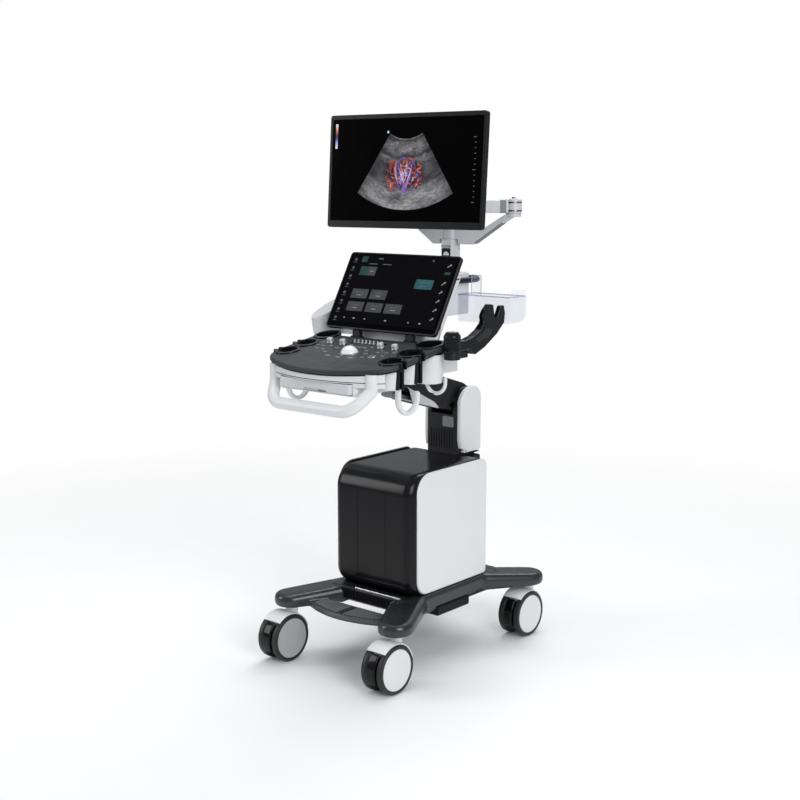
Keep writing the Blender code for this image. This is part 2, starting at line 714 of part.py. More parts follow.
def console_top():
    """Dark control panel with its openings for cups, trackball, knobs and button."""
    shape = bevelled(sloping_plate(console_outline(), 0.0, PANEL_THICKNESS), 0.003, 1, 50)
    tools = []
    for side in (-1, 1):
        for y, radius, _ in PROBE_CUPS:
            bore = radius - CUP_WALL + 0.0006
            tools.append(cylinder((side * PROBE_CUP_X, y, 0.0), bore, 0.75, 0.90, "Z", CUP_SIDES))
            tools.append(cup_slot(side, y, 0.75, 0.90, 0.0135, PROBE_CUP_X))
        ends = sorted((side * PROBE_CUP_X, side * 0.24))
        tools.append(box((ends[0], PROBE_CUPS[2][0], 0.75), (ends[1], CONSOLE_REAR_Y + 0.01, 0.90)))
    tools.append(cylinder((TRACKBALL[0], TRACKBALL[1], 0.0), TRACKBALL_RADIUS + 0.0012, 0.75, 0.90, "Z", 20))
    for x, y in KNOBS:
        tools.append(panel_cylinder(x, y, 0.0040, -0.0080, 0.01, 10))
    tools.append(panel_cylinder(*FREEZE_BUTTON, 0.0098, -0.0060, 0.01, 16))
    return cut(shape, *tools)


def panel_matrix(x, y):
    """Matrix that stands a local Z on the panel's surface at (x, y)."""
    tilt = Matrix.Rotation(math.atan(PANEL_SLOPE), 4, "X")
    return Matrix.Translation((x, y, panel_z(y))) @ tilt


def panel_cylinder(x, y, radius, low, high, sides):
    """Cylinder square to the panel's surface."""
    return moved(cylinder((0, 0, 0), radius, low, high, "Z", sides), panel_matrix(x, y))


def panel_normal():
    return (panel_matrix(0, 0).to_3x3() @ Vector((0, 0, 1))).normalized()


def front_handle():
    """White loop handle under the console's front."""
    foot = Vector((0.1620, -0.3370, CONSOLE_BOTTOM - GAP))
    knee = Vector((0.1620, -0.3370, 0.757))
    corner = Vector((0.130, -0.3840, 0.7080))
    lean = (knee - corner).normalized()
    right = [foot, foot.lerp(knee, 0.3), knee, corner + lean * 0.034]
    for i in range(1, 4):
        t = i / 4.0
        bend = (corner + lean * 0.034).lerp(corner, t).lerp(corner.lerp(corner - Vector((0.034, 0, 0)), t), t)
        right.append(bend)
    right.append(corner - Vector((0.034, 0, 0)))
    path = right + [Vector((-p.x, p.y, p.z)) for p in reversed(right)]
    return tube(path, 0.0152, 12)


def keyboard_drawer():
    """Sliding keyboard tray in the pocket under the panel."""
    shape = rounded_box((-0.1190, -0.3700, 0.7470), (0.1190, -0.2010, 0.7725), 0.006, "Z", 2)
    recess = rounded_box((-0.112, -0.358, 0.7690), (0.112, -0.212, 0.79), 0.004, "Z", 2)
    return cut(shape, recess)


def probe_holder(side):
    """White rail of three tapered probe cups; the right one also carries a cable loop."""
    parts = []
    bores = []
    for y, radius, bottom in PROBE_CUPS:
        top = panel_z(y - radius, PANEL_THICKNESS + 0.0031)
        centre = (side * PROBE_CUP_X, y, 0.0)
        profile = [(0.0, bottom), (radius - 0.006, bottom), (radius - 0.003, bottom + 0.004), (radius, top),
                   (0.0, top)]
        parts.append(turned(profile, centre, "Z", CUP_SIDES))
        bores.append(cylinder(centre, radius - CUP_WALL, bottom + 0.012, 0.90, "Z", CUP_SIDES))
        bores.append(cylinder(centre, 0.0105, 0.70, 0.90, "Z", 10))
        bores.append(cup_slot(side, y, 0.70, 0.90, 0.0135, PROBE_CUP_X))
    ends = sorted((side * (0.138 + GAP), side * 0.158))
    rail = box((ends[0], -0.305, 0.7685), (ends[1], -0.105, 0.7900))
    if side > 0:
        parts.append(cable_loop())
    shape = union(rail, *parts)
    return cut(shape, *bores)


def cable_loop():
    """Cable guide under the rear cup, open at its outer end."""
    y = PROBE_CUPS[2][0] + 0.008
    root_x = PROBE_CUP_X - 0.0180
    bend = 0.0298
    z = 0.7600
    path = [(root_x, y, PROBE_CUPS[2][2] + 0.006)]
    path += [(u, y, v) for u, v in arc((root_x + bend, z), bend, 180, 360, 7)]
    path.append((root_x + 2 * bend, y, 0.7740))
    return tube(path, 0.0048, 8)


def probe_liner(side):
    """Black soft liner of the three cups, joined by a strip under the panel."""
    inner = side * (PROBE_CUP_X - 0.026)
    outer = side * (PROBE_CUP_X + 0.024)
    ends = sorted((inner, outer))
    strip = rounded_outline(ends[0], ends[1], -0.303, -0.104, 0.012, 2)
    shape = sloping_plate(strip, PANEL_THICKNESS + GAP, PANEL_THICKNESS + 0.0025)
    parts = []
    bores = []
    for y, radius, bottom in PROBE_CUPS:
        centre = (side * PROBE_CUP_X, y, 0.0)
        outer_radius = radius - CUP_WALL - 0.0004
        parts.append(cylinder(centre, outer_radius, bottom + 0.0126, panel_z(y, -0.002), "Z", CUP_SIDES))
        bores.append(cylinder(centre, outer_radius - LINER_WALL, 0.70, 0.90, "Z", CUP_SIDES))
        bores.append(cup_slot(side, y, 0.70, 0.90, 0.0100, PROBE_CUP_X))
    shape = union(shape, *parts)
    return cut(shape, *bores)


def cable_hook(side):
    """White J hook under the front cups."""
    x = side * 0.186
    top = PROBE_CUPS[0][2] - GAP
    y = -0.268
    bend = 0.036
    path = [(x, y, top)]
    path += [(x, u, v) for u, v in arc((y + bend, 0.7300), bend, 180, 360, 8)]
    path.append((x, y + 2 * bend, 0.7440))
    return tube(path, 0.0055, 8)


def trackball():
    """Ball that stands in its well with room all round."""
    x, y = TRACKBALL
    steps = 6
    profile = []
    for i in range(steps + 1):
        angle = math.pi * i / steps
        radius = TRACKBALL_RADIUS * math.sin(angle) if 0 < i < steps else 0.0
        profile.append((radius, -TRACKBALL_RADIUS * math.cos(angle)))
    return turned(profile, (x, y, trackball_z()), "Z", 12)


def trackball_z():
    return panel_z(TRACKBALL[1], 0.006)


def knob(x, y):
    """Turning knob with a spindle in the panel."""
    profile = [(0.0, -0.0072), (0.0032, -0.0072), (0.0032, GAP), (0.0100, GAP), (0.0095, 0.0125),
               (0.0080, 0.0145), (0.0, 0.0145)]
    return moved(turned(profile, (0, 0, 0), "Z", 10), panel_matrix(x, y))


def freeze_button():
    """Push button that stands in a round recess of the panel."""
    profile = [(0.0, -0.0042), (0.0091, -0.0042), (0.0091, 0.0016), (0.0080, 0.0024), (0.0, 0.0024)]
    return moved(turned(profile, (0, 0, 0), "Z", 16), panel_matrix(*FREEZE_BUTTON))


def rear_housing():
    """White housing behind the touch screen, with a tail that carries the monitor post."""
    low = DECK_TOP + GAP
    slab = [(-0.0925, low), (-0.022, low), (-0.018, 0.852), (0.070, 1.003), (0.066, 1.0083), (0.0000, 1.0083),
            (-0.0045, 1.000)]
    shape = bevelled(prism(slab, "X", -0.120, 0.120), 0.006, 2, 60)
    plan = [(-TAIL_X, 0.010), (TAIL_X, 0.010)] + arc((0.0, TAIL_REAR_Y), TAIL_X, 0, 180, 8)
    tail = prism(plan, "Z", 0.895, 1.0080)
    return union(shape, tail)


def gel_cup():
    """Slant-rimmed holder for a gel bottle, on a short bracket."""
    centre = (GEL_CUP.x, GEL_CUP.y, GEL_CUP.z)
    body = turned([(0.0, 0.0), (0.040, 0.0), (0.0544, 0.105), (0.0, 0.105)], centre, "Z", 18)
    bracket = box((GEL_CUP.x + 0.036, -0.048, 0.8455), (-0.120 - GAP, -0.024, 0.8780))
    shape = union(body, bracket)
    bore = turned([(0.0, 0.004), (0.0362, 0.004), (0.0522, 0.12), (0.0, 0.12)], centre, "Z", 18)
    corners = [(-0.35, -0.15), (-0.10, -0.15), (-0.10, 0.05), (-0.35, 0.05)]
    rim = [(x, y, 0.914 + 0.29 * (x - GEL_CUP.x) + 0.51 * (y - GEL_CUP.y)) for x, y in corners]
    return cut(shape, bore, loft([rim, [(x, y, 1.15) for x, y in corners]]))


def rear_handle():
    """Black grab bar behind the monitor post."""
    x = 0.055
    y = 0.205
    z = 0.9900
    start_y = 0.0500
    path = [(x, start_y, z), (x, y, z)]
    path += [(u, v, z) for u, v in arc((0.0, y), x, 0, 180, 8)][1:-1]
    path += [(-x, y, z), (-x, start_y, z)]
    slope = [(-0.0440, 0.8067), (0.0968, 1.0483), (-0.3, 1.0483), (-0.3, 0.8067)]
    return cut(tube(path, 0.0080, 8), prism(slope, "X", -0.2, 0.2))


def clear_bin():
    """Clear tray at the right of the tail, with a raised tab on its front wall and a round lower end."""
    low = (TAIL_X + GAP, 0.160, 0.878)
    high = (0.213, 0.235, 0.953)
    wall = 0.003
    outline = rounded_outline(low[0], high[0], low[2], high[2], (0.004, 0.030, 0.0, 0.0), 4)
    shape = prism(outline, "Y", low[1], high[1])
    tab = rounded_box((0.082, low[1], 0.90), (0.116, low[1] + 0.005, 1.008), 0.006, "Y", 2)
    lip = box((0.2095, 0.166, 0.94), (high[0] - 0.0001, 0.229, 0.970))
    shape = union(shape, tab, lip)
    inside = rounded_outline(low[0] + wall, high[0] - wall, low[2] + wall, 1.1, (0.002, 0.027, 0.0, 0.0), 4)
    return cut(shape, prism(inside, "Y", low[1] + wall, high[1] - wall))


def cable_arm_mount():
    """Black bracket that carries the cable arm."""
    arm = box((0.138 + GAP, -0.0900, 0.8200), (0.2300, -0.0680, 0.8370))
    boss = cylinder((CABLE_ARM.x, CABLE_ARM.y, 0.0), 0.0205, 0.8190, CABLE_ARM.z - GAP, "Z", 16)
    strut = box((0.2200, -0.120, 0.8205), (0.2480, -0.069, 0.8365))
    spigot = cylinder((CABLE_ARM.x, CABLE_ARM.y, 0.0), 0.0060, 0.830, 0.8600, "Z", 10)
    return union(arm, boss, strut, spigot)


def cable_arm():
    """Black swivelling arm with two prongs for probe cables."""
    outline = [(-0.118, 0.8390), (-0.0600, 0.8390), (-0.056, 0.8290), (-0.040, 0.8245), (0.000, 0.8400),
               (0.051, 0.8690), (0.086, 0.8960), (0.093, 0.9200), (0.083, 0.9400), (0.070, 0.9370), (0.060, 0.9180),
               (0.050, 0.9215), (0.047, 0.9420), (0.027, 0.9460), (0.006, 0.9320), (-0.005, 0.9180),
               (0.000, 0.9030), (-0.018, 0.8840), (-0.048, 0.8700), (-0.078, 0.8640), (-0.118, 0.8640)]
    shape = bevelled(prism(outline, "X", CABLE_ARM.x - 0.0125, CABLE_ARM.x + 0.0125), 0.004, 2, 70)
    top = 0.0500
    profile = [(0.0, 0.0), (0.0215, 0.0), (0.0215, top - 0.008), (0.0150, top), (0.0, top)]
    shape = union(shape, turned(profile, CABLE_ARM, "Z", 18))
    bore = cylinder((CABLE_ARM.x, CABLE_ARM.y, 0.0), 0.0068, 0.80, 0.8620, "Z", 10)
    return cut(shape, bore)


# ---------------------------------------------------------------- touch screen

def touch_matrix():
    """From the touch screen's frame (x right, y up the glass, z towards the operator) to the world."""
    return Matrix.Translation(TOUCH_CENTRE) @ Matrix.Rotation(math.pi / 2 - TOUCH_TILT, 4, "X")


def touch_housing():
    """Screen housing with a glass recess in front and two hinge lugs below."""
    w, h = TOUCH_HALF
    outline = rounded_outline(-w, w, -h, h, 0.010, 3)
    back = rounded_outline(-w + 0.040, w - 0.040, -h + 0.014, h - 0.030, 0.008, 3)
    sections = [[(x, y, -TOUCH_THICKNESS) for x, y in back], [(x, y, -0.009) for x, y in outline],
                [(x, y, 0.0) for x, y in outline]]
    shape = loft(sections)
    recess = rounded_outline(-w + 0.004, w - 0.004, -h + 0.004, h - 0.004, 0.007, 3)
    shape = moved(cut(shape, prism(recess, "Z", -0.003, 0.01)), touch_matrix())
    lugs = []
    holes = []
    for side in (-1, 1):
        low, high = sorted((side * 0.078, side * 0.102))
        lug = arc((TOUCH_PIVOT.y, TOUCH_PIVOT.z), 0.0060, 180, 360, 5) + [(-0.0975, 0.8640), (-0.1120, 0.8700)]
        lugs.append(prism(lug, "X", low, high))
        holes.append(cylinder((0.0, TOUCH_PIVOT.y, TOUCH_PIVOT.z), 0.0034, low - 0.001, high + 0.001, "X", 10))
    shape = union(shape, *lugs)
    return cut(shape, *holes)


def touch_glass():
    """Front glass of the touch screen."""
    w, h = TOUCH_HALF
    outline = rounded_outline(-w + 0.0043, w - 0.0043, -h + 0.0043, h - 0.0043, 0.0067, 3)
    return moved(prism(outline, "Z", -0.0027, 0.0002), touch_matrix())


def touch_hinge():
    """Hinge bracket on the rear deck: a bar with two pairs of ears and their pins."""
    y, z = TOUCH_PIVOT.y, TOUCH_PIVOT.z
    low = DECK_TOP + GAP
    shape = box((-0.110, -0.0985, low), (0.110, -0.0935, 0.8455))
    ears = []
    for side in (-1, 1):
        for inner, outer in ((0.1025, 0.1100), (0.0700, 0.0775)):
            ends = sorted((side * inner, side * outer))
            ear = [(-0.0940, low), (-0.0940, 0.8455)] + arc((y, z), 0.0055, 60, 200, 4) + [(-0.1110, low)]
            ears.append(prism(ear, "X", *ends))
        pin_ends = sorted((side * 0.074, side * 0.106))
        ears.append(cylinder((0.0, y, z), 0.0028, *pin_ends, "X", 10))
    return union(shape, *ears)


# ---------------------------------------------------------------- monitor

def monitor_post():
    """Square post on the tail, with a spigot for the arm."""
    base = rounded_box((-0.018, 0.155, 1.0083 + GAP), (0.018, 0.197, ARM_HUB.z - GAP), 0.004, "Z", 2)
    spigot = cylinder((ARM_HUB.x, ARM_HUB.y, 0.0), 0.0090, 1.09, 1.1180, "Z", 14)
    return union(base, spigot)


def beam(start, end, width, start_z, end_z, edge=0.004):
    """Bar between two plan points whose bottom and top heights change along it."""
    start = Vector((start[0], start[1], 0.0))
    end = Vector((end[0], end[1], 0.0))
    across = (end - start).normalized().cross(Vector((0, 0, 1)))
    sections = []
    for place, (low, high) in ((start, start_z), (end, end_z)):
        half = width / 2.0
        profile = [(-half + edge, low), (half - edge, low), (half, low + edge), (half, high - edge),
                   (half - edge, high), (-half + edge, high), (-half, high - edge), (-half, low + edge)]
        sections.append([place + across * u + Vector((0, 0, z)) for u, z in profile])
    return loft(sections)


def arm_lower():
    """Lower monitor arm: hub, raking right leg to the elbow, and a short left wing."""
    hub = cylinder((ARM_HUB.x, ARM_HUB.y, 0.0), 0.0230, ARM_HUB.z, 1.1320, "Z", 18)
    right_leg = beam((0.004, 0.178), (ELBOW.x, ELBOW.y), 0.034, (1.1010, 1.1300), (1.1480, ELBOW.z - GAP))
    wing = beam((0.0, 0.176), (-0.092, 0.160), 0.030, (1.1010, 1.1300), (1.1290, 1.1520))
    elbow = cylinder((ELBOW.x, ELBOW.y, 0.0), 0.0210, 1.1460, ELBOW.z - GAP, "Z", 18)
    spigot = cylinder((ELBOW.x, ELBOW.y, 0.0), 0.0080, 1.16, 1.1900, "Z", 14)
    shape = union(hub, right_leg, wing, elbow, spigot)
    bore = cylinder((ARM_HUB.x, ARM_HUB.y, 0.0), 0.0098, 1.08, 1.1190, "Z", 14)
    return cut(shape, bore)


def arm_upper():
    """Upper monitor arm from the elbow to the yoke."""
    top = YOKE.z - GAP
    elbow = cylinder((ELBOW.x, ELBOW.y, 0.0), 0.0220, ELBOW.z, top + 0.004, "Z", 18)
    low = ELBOW.z + 0.0006
    bar = beam((ELBOW.x, ELBOW.y), (YOKE.x, YOKE.y), 0.032, (low, top - 0.0006), (low, top - 0.0006))
    end = cylinder((YOKE.x, YOKE.y, 0.0), 0.0190, ELBOW.z, top, "Z", 18)
    spigot = cylinder((YOKE.x, YOKE.y, 0.0), 0.0070, 1.19, 1.2220, "Z", 14)
    shape = union(elbow, bar, end, spigot)
    bore = cylinder((ELBOW.x, ELBOW.y, 0.0), 0.0088, 1.15, 1.1910, "Z", 14)
    return cut(shape, bore)


def yoke_matrix():
    """From the yoke's own frame (axis at the origin, operator towards -Y) to the world."""
    return Matrix.Translation((YOKE.x, YOKE.y, 0.0)) @ Matrix.Rotation(MONITOR_YAW, 4, "Z")


def monitor_matrix():
    """From the upright monitor's frame to the world, with its backward tilt."""
    there = Matrix.Translation(TILT_AXIS)
    return yoke_matrix() @ there @ Matrix.Rotation(-MONITOR_TILT, 4, "X") @ there.inverted()


def monitor_yoke():
    """Swivelling bracket with the tilt barrel."""
    hub = cylinder((0, 0, 0), 0.0180, YOKE.z, 1.2330, "Z", 16)
    neck = [(-0.014, YOKE.z + 0.002), (0.014, YOKE.z + 0.002), (0.014, 1.240), (TILT_AXIS.y + 0.008, 1.2800),
            (TILT_AXIS.y - 0.002, 1.2810), (TILT_AXIS.y - 0.010, 1.2640), (-0.014, 1.224)]
    plate = prism(neck, "X", -0.0175, 0.0175)
    barrel = cylinder(TILT_AXIS, 0.0130, -0.0200, 0.0200, "X", 16)
    shape = union(hub, plate, barrel)
    bore = cylinder((0, 0, 0), 0.0078, 1.19, 1.2230, "Z", 14)
    pins = cylinder(TILT_AXIS, 0.0056, -0.03, 0.03, "X", 12)
    return moved(cut(shape, bore, pins), yoke_matrix())


def monitor_shell():
    """Monitor casing with the glass recess in front, the back bulge and the tilt lugs."""
    w, h = MONITOR_HALF
    z = MONITOR_CENTRE_Z
    front = rounded_outline(-w, w, z - h, z + h, 0.008, 3)
    back = rounded_outline(-w + 0.010, w - 0.010, z - h + 0.010, z + h - 0.010, 0.008, 3)
    sections = [[(x, SCREEN_Y, v) for x, v in front], [(x, SCREEN_Y + 0.014, v) for x, v in front],
                [(x, SCREEN_Y + 0.024, v) for x, v in back]]
    shape = loft(sections)
    bulge = []
    for y, half_x, half_z in ((SCREEN_Y + 0.020, 0.185, 0.110), (SCREEN_Y + 0.040, 0.150, 0.080)):
        ring = rounded_outline(-half_x, half_x, z - 0.005 - half_z, z - 0.005 + half_z, 0.02, 3)
        bulge.append([(x, y, v) for x, v in ring])
    lugs = []
    for side in (-1, 1):
        lug = arc((TILT_AXIS.y, TILT_AXIS.z), 0.0120, -90, 90, 5)
        lug += [(SCREEN_Y + 0.036, TILT_AXIS.z + 0.016), (SCREEN_Y + 0.036, TILT_AXIS.z - 0.016)]
        ends = sorted((side * 0.0205, side * 0.0320))
        lugs.append(prism(lug, "X", *ends))
    pin = cylinder(TILT_AXIS, 0.0048, -0.0215, -0.0040, "X", 12)
    other_pin = cylinder(TILT_AXIS, 0.0048, 0.0040, 0.0215, "X", 12)
    shape = union(shape, loft(bulge), *lugs, pin, other_pin)
    recess = monitor_glass_outline(0.0)
    return moved(cut(shape, prism(recess, "Y", SCREEN_Y - 0.01, SCREEN_Y + 0.003)), monitor_matrix())


def monitor_glass_outline(inset):
    """Outline of the glass: narrow bezel at the sides and top, wider lip below."""
    w, h = MONITOR_HALF
    z = MONITOR_CENTRE_Z
    side = w - 0.0085 - inset
    return rounded_outline(-side, side, z - h + 0.018 + inset, z + h - 0.0115 - inset, 0.002, 2)


def monitor_glass():
    """Front glass of the monitor."""
    shape = prism(monitor_glass_outline(GAP), "Y", SCREEN_Y + 0.0005, SCREEN_Y + 0.003 - GAP)
    return moved(shape, monitor_matrix())


# ---------------------------------------------------------------- assembly

def add_cart(root):
    """Everything that stays with the base."""
    piece("base_frame", base_frame(), charcoal_satin(), root)
    piece("footrest_tread", footrest_tread(), grey_rubber(), root)
    piece("cabinet_shell", cabinet_shell(), black_gloss(), root)
    piece("cabinet_side_right", cabinet_side(1), white_plastic(), root)
    piece("cabinet_side_left", cabinet_side(-1), white_plastic(), root)
    piece("cabinet_rear_cover", rear_cover(), black_satin(), root)
    piece("electronics_module", electronics_module(), steel(), root)
    piece("column_core", column_core(), black_satin(), root)
    piece("column_cover_right", column_cover(1), white_plastic(), root)
    piece("column_cover_left", column_cover(-1), white_plastic(), root)


def add_lift(root):
    """Lift arm, parallel link and the carrier; returns the console's swivel empty."""
    arm = pivot("lift_axis", ARM_REAR, root)
    link = pivot("link_axis", ARM_REAR + LINK_OFFSET, root)
    head = pivot("carrier_axis", ARM_FRONT, arm)
    piece("lift_arm", lift_arm(), black_satin(), arm)
    piece("lift_link", lift_link(), grey_rubber(), link)
    piece("console_carrier", console_carrier(), black_satin(), head)
    return pivot("console_axis", CONSOLE_PIVOT, head)


def add_console(console):
    """The console and what is fixed or jointed to it."""
    piece("console_base", console_base(), white_plastic(), console)
    piece("console_top", console_top(), charcoal_satin(), console)
    piece("front_handle", front_handle(), white_plastic(), console)
    for side, name in ((1, "right"), (-1, "left")):
        piece("probe_holder_" + name, probe_holder(side), white_plastic(), console)
        piece("probe_liner_" + name, probe_liner(side), black_satin(), console)
        piece("cable_hook_" + name, cable_hook(side), white_plastic(), console)
    piece("rear_housing", rear_housing(), white_plastic(), console)
    piece("gel_cup", gel_cup(), white_plastic(), console)
    piece("rear_handle", rear_handle(), black_satin(), console)
    piece("clear_bin", clear_bin(), clear_plastic(), console)
    piece("cable_arm_mount", cable_arm_mount(), black_satin(), console)
    piece("touch_hinge", touch_hinge(), black_satin(), console)
    piece("monitor_post", monitor_post(), silver_paint(), console)
    drawer = pivot("drawer_axis", (0.0, -0.3700, 0.760), console)
    piece("keyboard_drawer", keyboard_drawer(), white_plastic(), drawer)
    ball = pivot("trackball_axis", (*TRACKBALL, trackball_z()), console)
    piece("trackball", trackball(), white_plastic(), ball)
    for i, (x, y) in enumerate(KNOBS):
        axis = pivot("knob_axis_%d" % (i + 1), (x, y, panel_z(y)), console)
        piece("knob_%d" % (i + 1), knob(x, y), silver_paint(), axis)
    x, y = FREEZE_BUTTON
    axis = pivot("freeze_axis", (x, y, panel_z(y)), console)
    piece("freeze_button", freeze_button(), grey_rubber(), axis)
    swivel = pivot("cable_arm_axis", CABLE_ARM, console)
    piece("cable_arm", cable_arm(), black_satin(), swivel)
    hinge = pivot("touch_axis", TOUCH_PIVOT, console)
    piece("touch_housing", touch_housing(), black_satin(), hinge)
    piece("touch_glass", touch_glass(), screen_glass(), hinge)


def add_monitor(console):
    """Monitor arm, yoke and monitor."""
    lower = pivot("arm_lower_axis", ARM_HUB, console)
    piece("monitor_arm_lower", arm_lower(), silver_paint(), lower)
    upper = pivot("arm_upper_axis", ELBOW, lower)
    piece("monitor_arm_upper", arm_upper(), silver_paint(), upper)
    yoke = pivot("yoke_axis", YOKE, upper)
    piece("monitor_yoke", monitor_yoke(), silver_paint(), yoke)
    tilt = pivot("tilt_axis", yoke_matrix() @ TILT_AXIS, yoke)
    piece("monitor_shell", monitor_shell(), charcoal_satin(), tilt)
    piece("monitor_glass", monitor_glass(), screen_glass(), tilt)


def centre_on_origin(root):
    """Move the whole machine so that the middle of its bounding box stands over the origin."""
    bpy.context.view_layer.update()
    corners = []
    for thing in bpy.data.objects:
        if thing.type == "MESH":
            corners += [thing.matrix_world @ vert.co for vert in thing.data.vertices]
    low = [min(point[i] for point in corners) for i in range(3)]
    high = [max(point[i] for point in corners) for i in range(3)]
    root.location = (-(low[0] + high[0]) / 2.0, -(low[1] + high[1]) / 2.0, -low[2])
    bpy.context.view_layer.update()


def main():
    for thing in list(bpy.data.objects):
        bpy.data.objects.remove(thing)
    root = pivot("machine", (0.0, 0.0, 0.0), None)
    add_cart(root)
    add_casters(root)
    console = add_lift(root)
    add_console(console)
    add_monitor(console)
    centre_on_origin(root)


main()
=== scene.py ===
import math
import random

import bmesh
import bpy
from mathutils import Euler, Matrix, Vector


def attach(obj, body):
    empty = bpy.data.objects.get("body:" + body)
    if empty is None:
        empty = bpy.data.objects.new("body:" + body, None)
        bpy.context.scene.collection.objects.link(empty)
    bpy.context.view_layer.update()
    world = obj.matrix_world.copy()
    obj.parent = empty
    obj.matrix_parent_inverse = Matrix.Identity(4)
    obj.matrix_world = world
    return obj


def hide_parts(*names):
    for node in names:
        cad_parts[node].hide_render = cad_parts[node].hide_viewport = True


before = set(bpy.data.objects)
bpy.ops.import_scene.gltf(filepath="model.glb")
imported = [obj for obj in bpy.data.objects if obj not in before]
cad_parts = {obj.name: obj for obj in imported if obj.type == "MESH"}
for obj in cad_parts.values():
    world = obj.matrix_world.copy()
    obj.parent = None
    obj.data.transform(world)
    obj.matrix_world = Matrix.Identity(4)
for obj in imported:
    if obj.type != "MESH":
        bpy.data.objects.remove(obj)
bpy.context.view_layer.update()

# The machine's own frame: mid-plane at X = 0, floor at Z = 0, the operator's side towards -Y.
# ORIGIN is where that frame stands in the row frame.
ORIGIN = Vector((0.018133, 0.031062, 0.0))

PANEL_Z = 0.8195
PANEL_Y = -0.3
PANEL_SLOPE = 0.1812
PANEL_THICKNESS = 0.012
CASTER_TRAIL = 0.033
WHEEL_RADIUS = 0.0625
FLOOR_RADIUS = 3.4
SIDES = ((1, "right"), (-1, "left"))
DECK_Z = 0.8398
SLOT_WIDTH = 0.0135
BALL_WELL_RADIUS = 0.0262
CASTERS = {
    "front_right": (0.1815, -0.2716),
    "front_left": (-0.1815, -0.2716),
    "rear_right": (0.1888, 0.2966),
    "rear_left": (-0.1888, 0.2966),
}
PROBE_CUP_X = 0.175
PROBE_CUPS = ((-0.28, 0.03, 0.757), (-0.21, 0.03, 0.764), (-0.13, 0.034, 0.756))
SLOTTED_CUPS = (-0.28, -0.21)
KNOBS = ((-0.11, -0.189), (-0.064, -0.19), (0.064, -0.19), (0.11, -0.189))
TOUCH_CENTRE = Vector((0.0, -0.072, 0.97))
TOUCH_TILT = math.radians(29.6)
TOUCH_HINGE = (-0.106, 0.8475)
YOKE = Vector((-0.0108, 0.0845, 1.2053))
ELBOW = Vector((0.165, 0.235, 1.1705))
ARM_HUB = Vector((0.0, 0.176, 1.1003))
MONITOR_YAW = math.radians(5.7)
MONITOR_TILT = math.radians(4.2)
TILT_AXIS = Vector((0.0, -0.046, 1.27))
ARM_REAR = Vector((0.0, 0.185, 0.668))
ARM_FRONT = Vector((0.0, -0.06, 0.738))
LINK_OFFSET = Vector((0.0, -0.02, -0.0346))
ARM_LENGTH = (ARM_FRONT - ARM_REAR).length
CABLE_ARM = Vector((0.2372, -0.122, 0.8378))
GEL_CUP = Vector((-0.247, -0.05, 0.842))


# ---------------------------------------------------------------- shader nodes

def new_material(name):
    """New node material, with its node tree and its Principled shader."""
    made = bpy.data.materials.new(name)
    made.use_nodes = True
    return made, made.node_tree, made.node_tree.nodes["Principled BSDF"]


def set_inputs(tree, node, values):
    """Set a node's inputs: each value is a constant, or another node's output to link."""
    for key, value in values.items():
        if isinstance(value, bpy.types.NodeSocket):
            tree.links.new(value, node.inputs[key])
        else:
            node.inputs[key].default_value = value


def add_node(tree, kind, values=None, operation=None):
    """Add a shader node with its operation and inputs."""
    node = tree.nodes.new("ShaderNode" + kind)
    if operation:
        node.operation = operation
    set_inputs(tree, node, values or {})
    return node


def object_place(tree):
    return add_node(tree, "TexCoord").outputs["Object"]


def noise(tree, place, scale, detail=2.0, roughness=0.5):
    values = {"Vector": place, "Scale": scale, "Detail": detail, "Roughness": roughness}
    return add_node(tree, "TexNoise", values).outputs["Fac"]


def maths(tree, operation, *terms):
    return add_node(tree, "Math", dict(enumerate(terms)), operation).outputs["Value"]


def map_range(tree, value, low, high, to_low, to_high, smooth=False):
    """Carry a value from the range low-high to the range to_low-to_high."""
    values = {"Value": value, "From Min": low, "From Max": high, "To Min": to_low, "To Max": to_high}
    node = add_node(tree, "MapRange", values)
    if smooth:
        node.interpolation_type = "SMOOTHSTEP"
    return node.outputs["Result"]


def ramp(tree, value, stops):
    """Colour ramp through (position, colour) stops."""
    node = add_node(tree, "ValToRGB", {"Fac": value})
    elements = node.color_ramp.elements
    while len(elements) < len(stops):
        elements.new(0.5)
    for element, (position, colour) in zip(elements, stops):
        element.position = position
        element.color = (*colour, 1.0)
    return node.outputs["Color"]


def shades(colour, tone):
    """Ramp stops from a little darker than a colour to a little lighter."""
    return ((0.3, [c * (1.0 - tone) for c in colour]), (0.7, [min(1.0, c * (1.0 + tone)) for c in colour]))


def bump(tree, height, strength, distance, normal=None):
    values = {"Height": height, "Strength": strength, "Distance": distance}
    if normal:
        values["Normal"] = normal
    return add_node(tree, "Bump", values).outputs["Normal"]


# ---------------------------------------------------------------- camera, light, floor

def add_camera():
    """Eye-level view from the front right, looking slightly down."""
    data = bpy.data.cameras.new("camera")
    data.sensor_width = 36.0
    data.lens = 58.67
    data.clip_start = 0.05
    camera = bpy.data.objects.new("camera", data)
    camera.location = Vector((2.1885, -2.6489, 1.2456)) + ORIGIN
    camera.rotation_euler = Euler((math.radians(90 - 9.386), 0.0, math.radians(39.98)), "XYZ")
    bpy.context.scene.collection.objects.link(camera)
    bpy.context.scene.camera = camera
    bpy.context.scene.view_settings.view_transform = "Standard"


def add_softbox(name, place, target, size, power, colour=(1.0, 1.0, 1.0)):
    """Large rectangular light."""
    data = bpy.data.lights.new(name, "AREA")
    data.shape = "RECTANGLE"
    data.size = size[0]
    data.size_y = size[1]
    data.energy = power
    data.color = colour
    lamp = bpy.data.objects.new(name, data)
    lamp.location = place
    direction = Vector(target) - Vector(place)
    lamp.rotation_euler = direction.to_track_quat("-Z", "Y").to_euler()
    lamp.visible_camera = False
    bpy.context.scene.collection.objects.link(lamp)


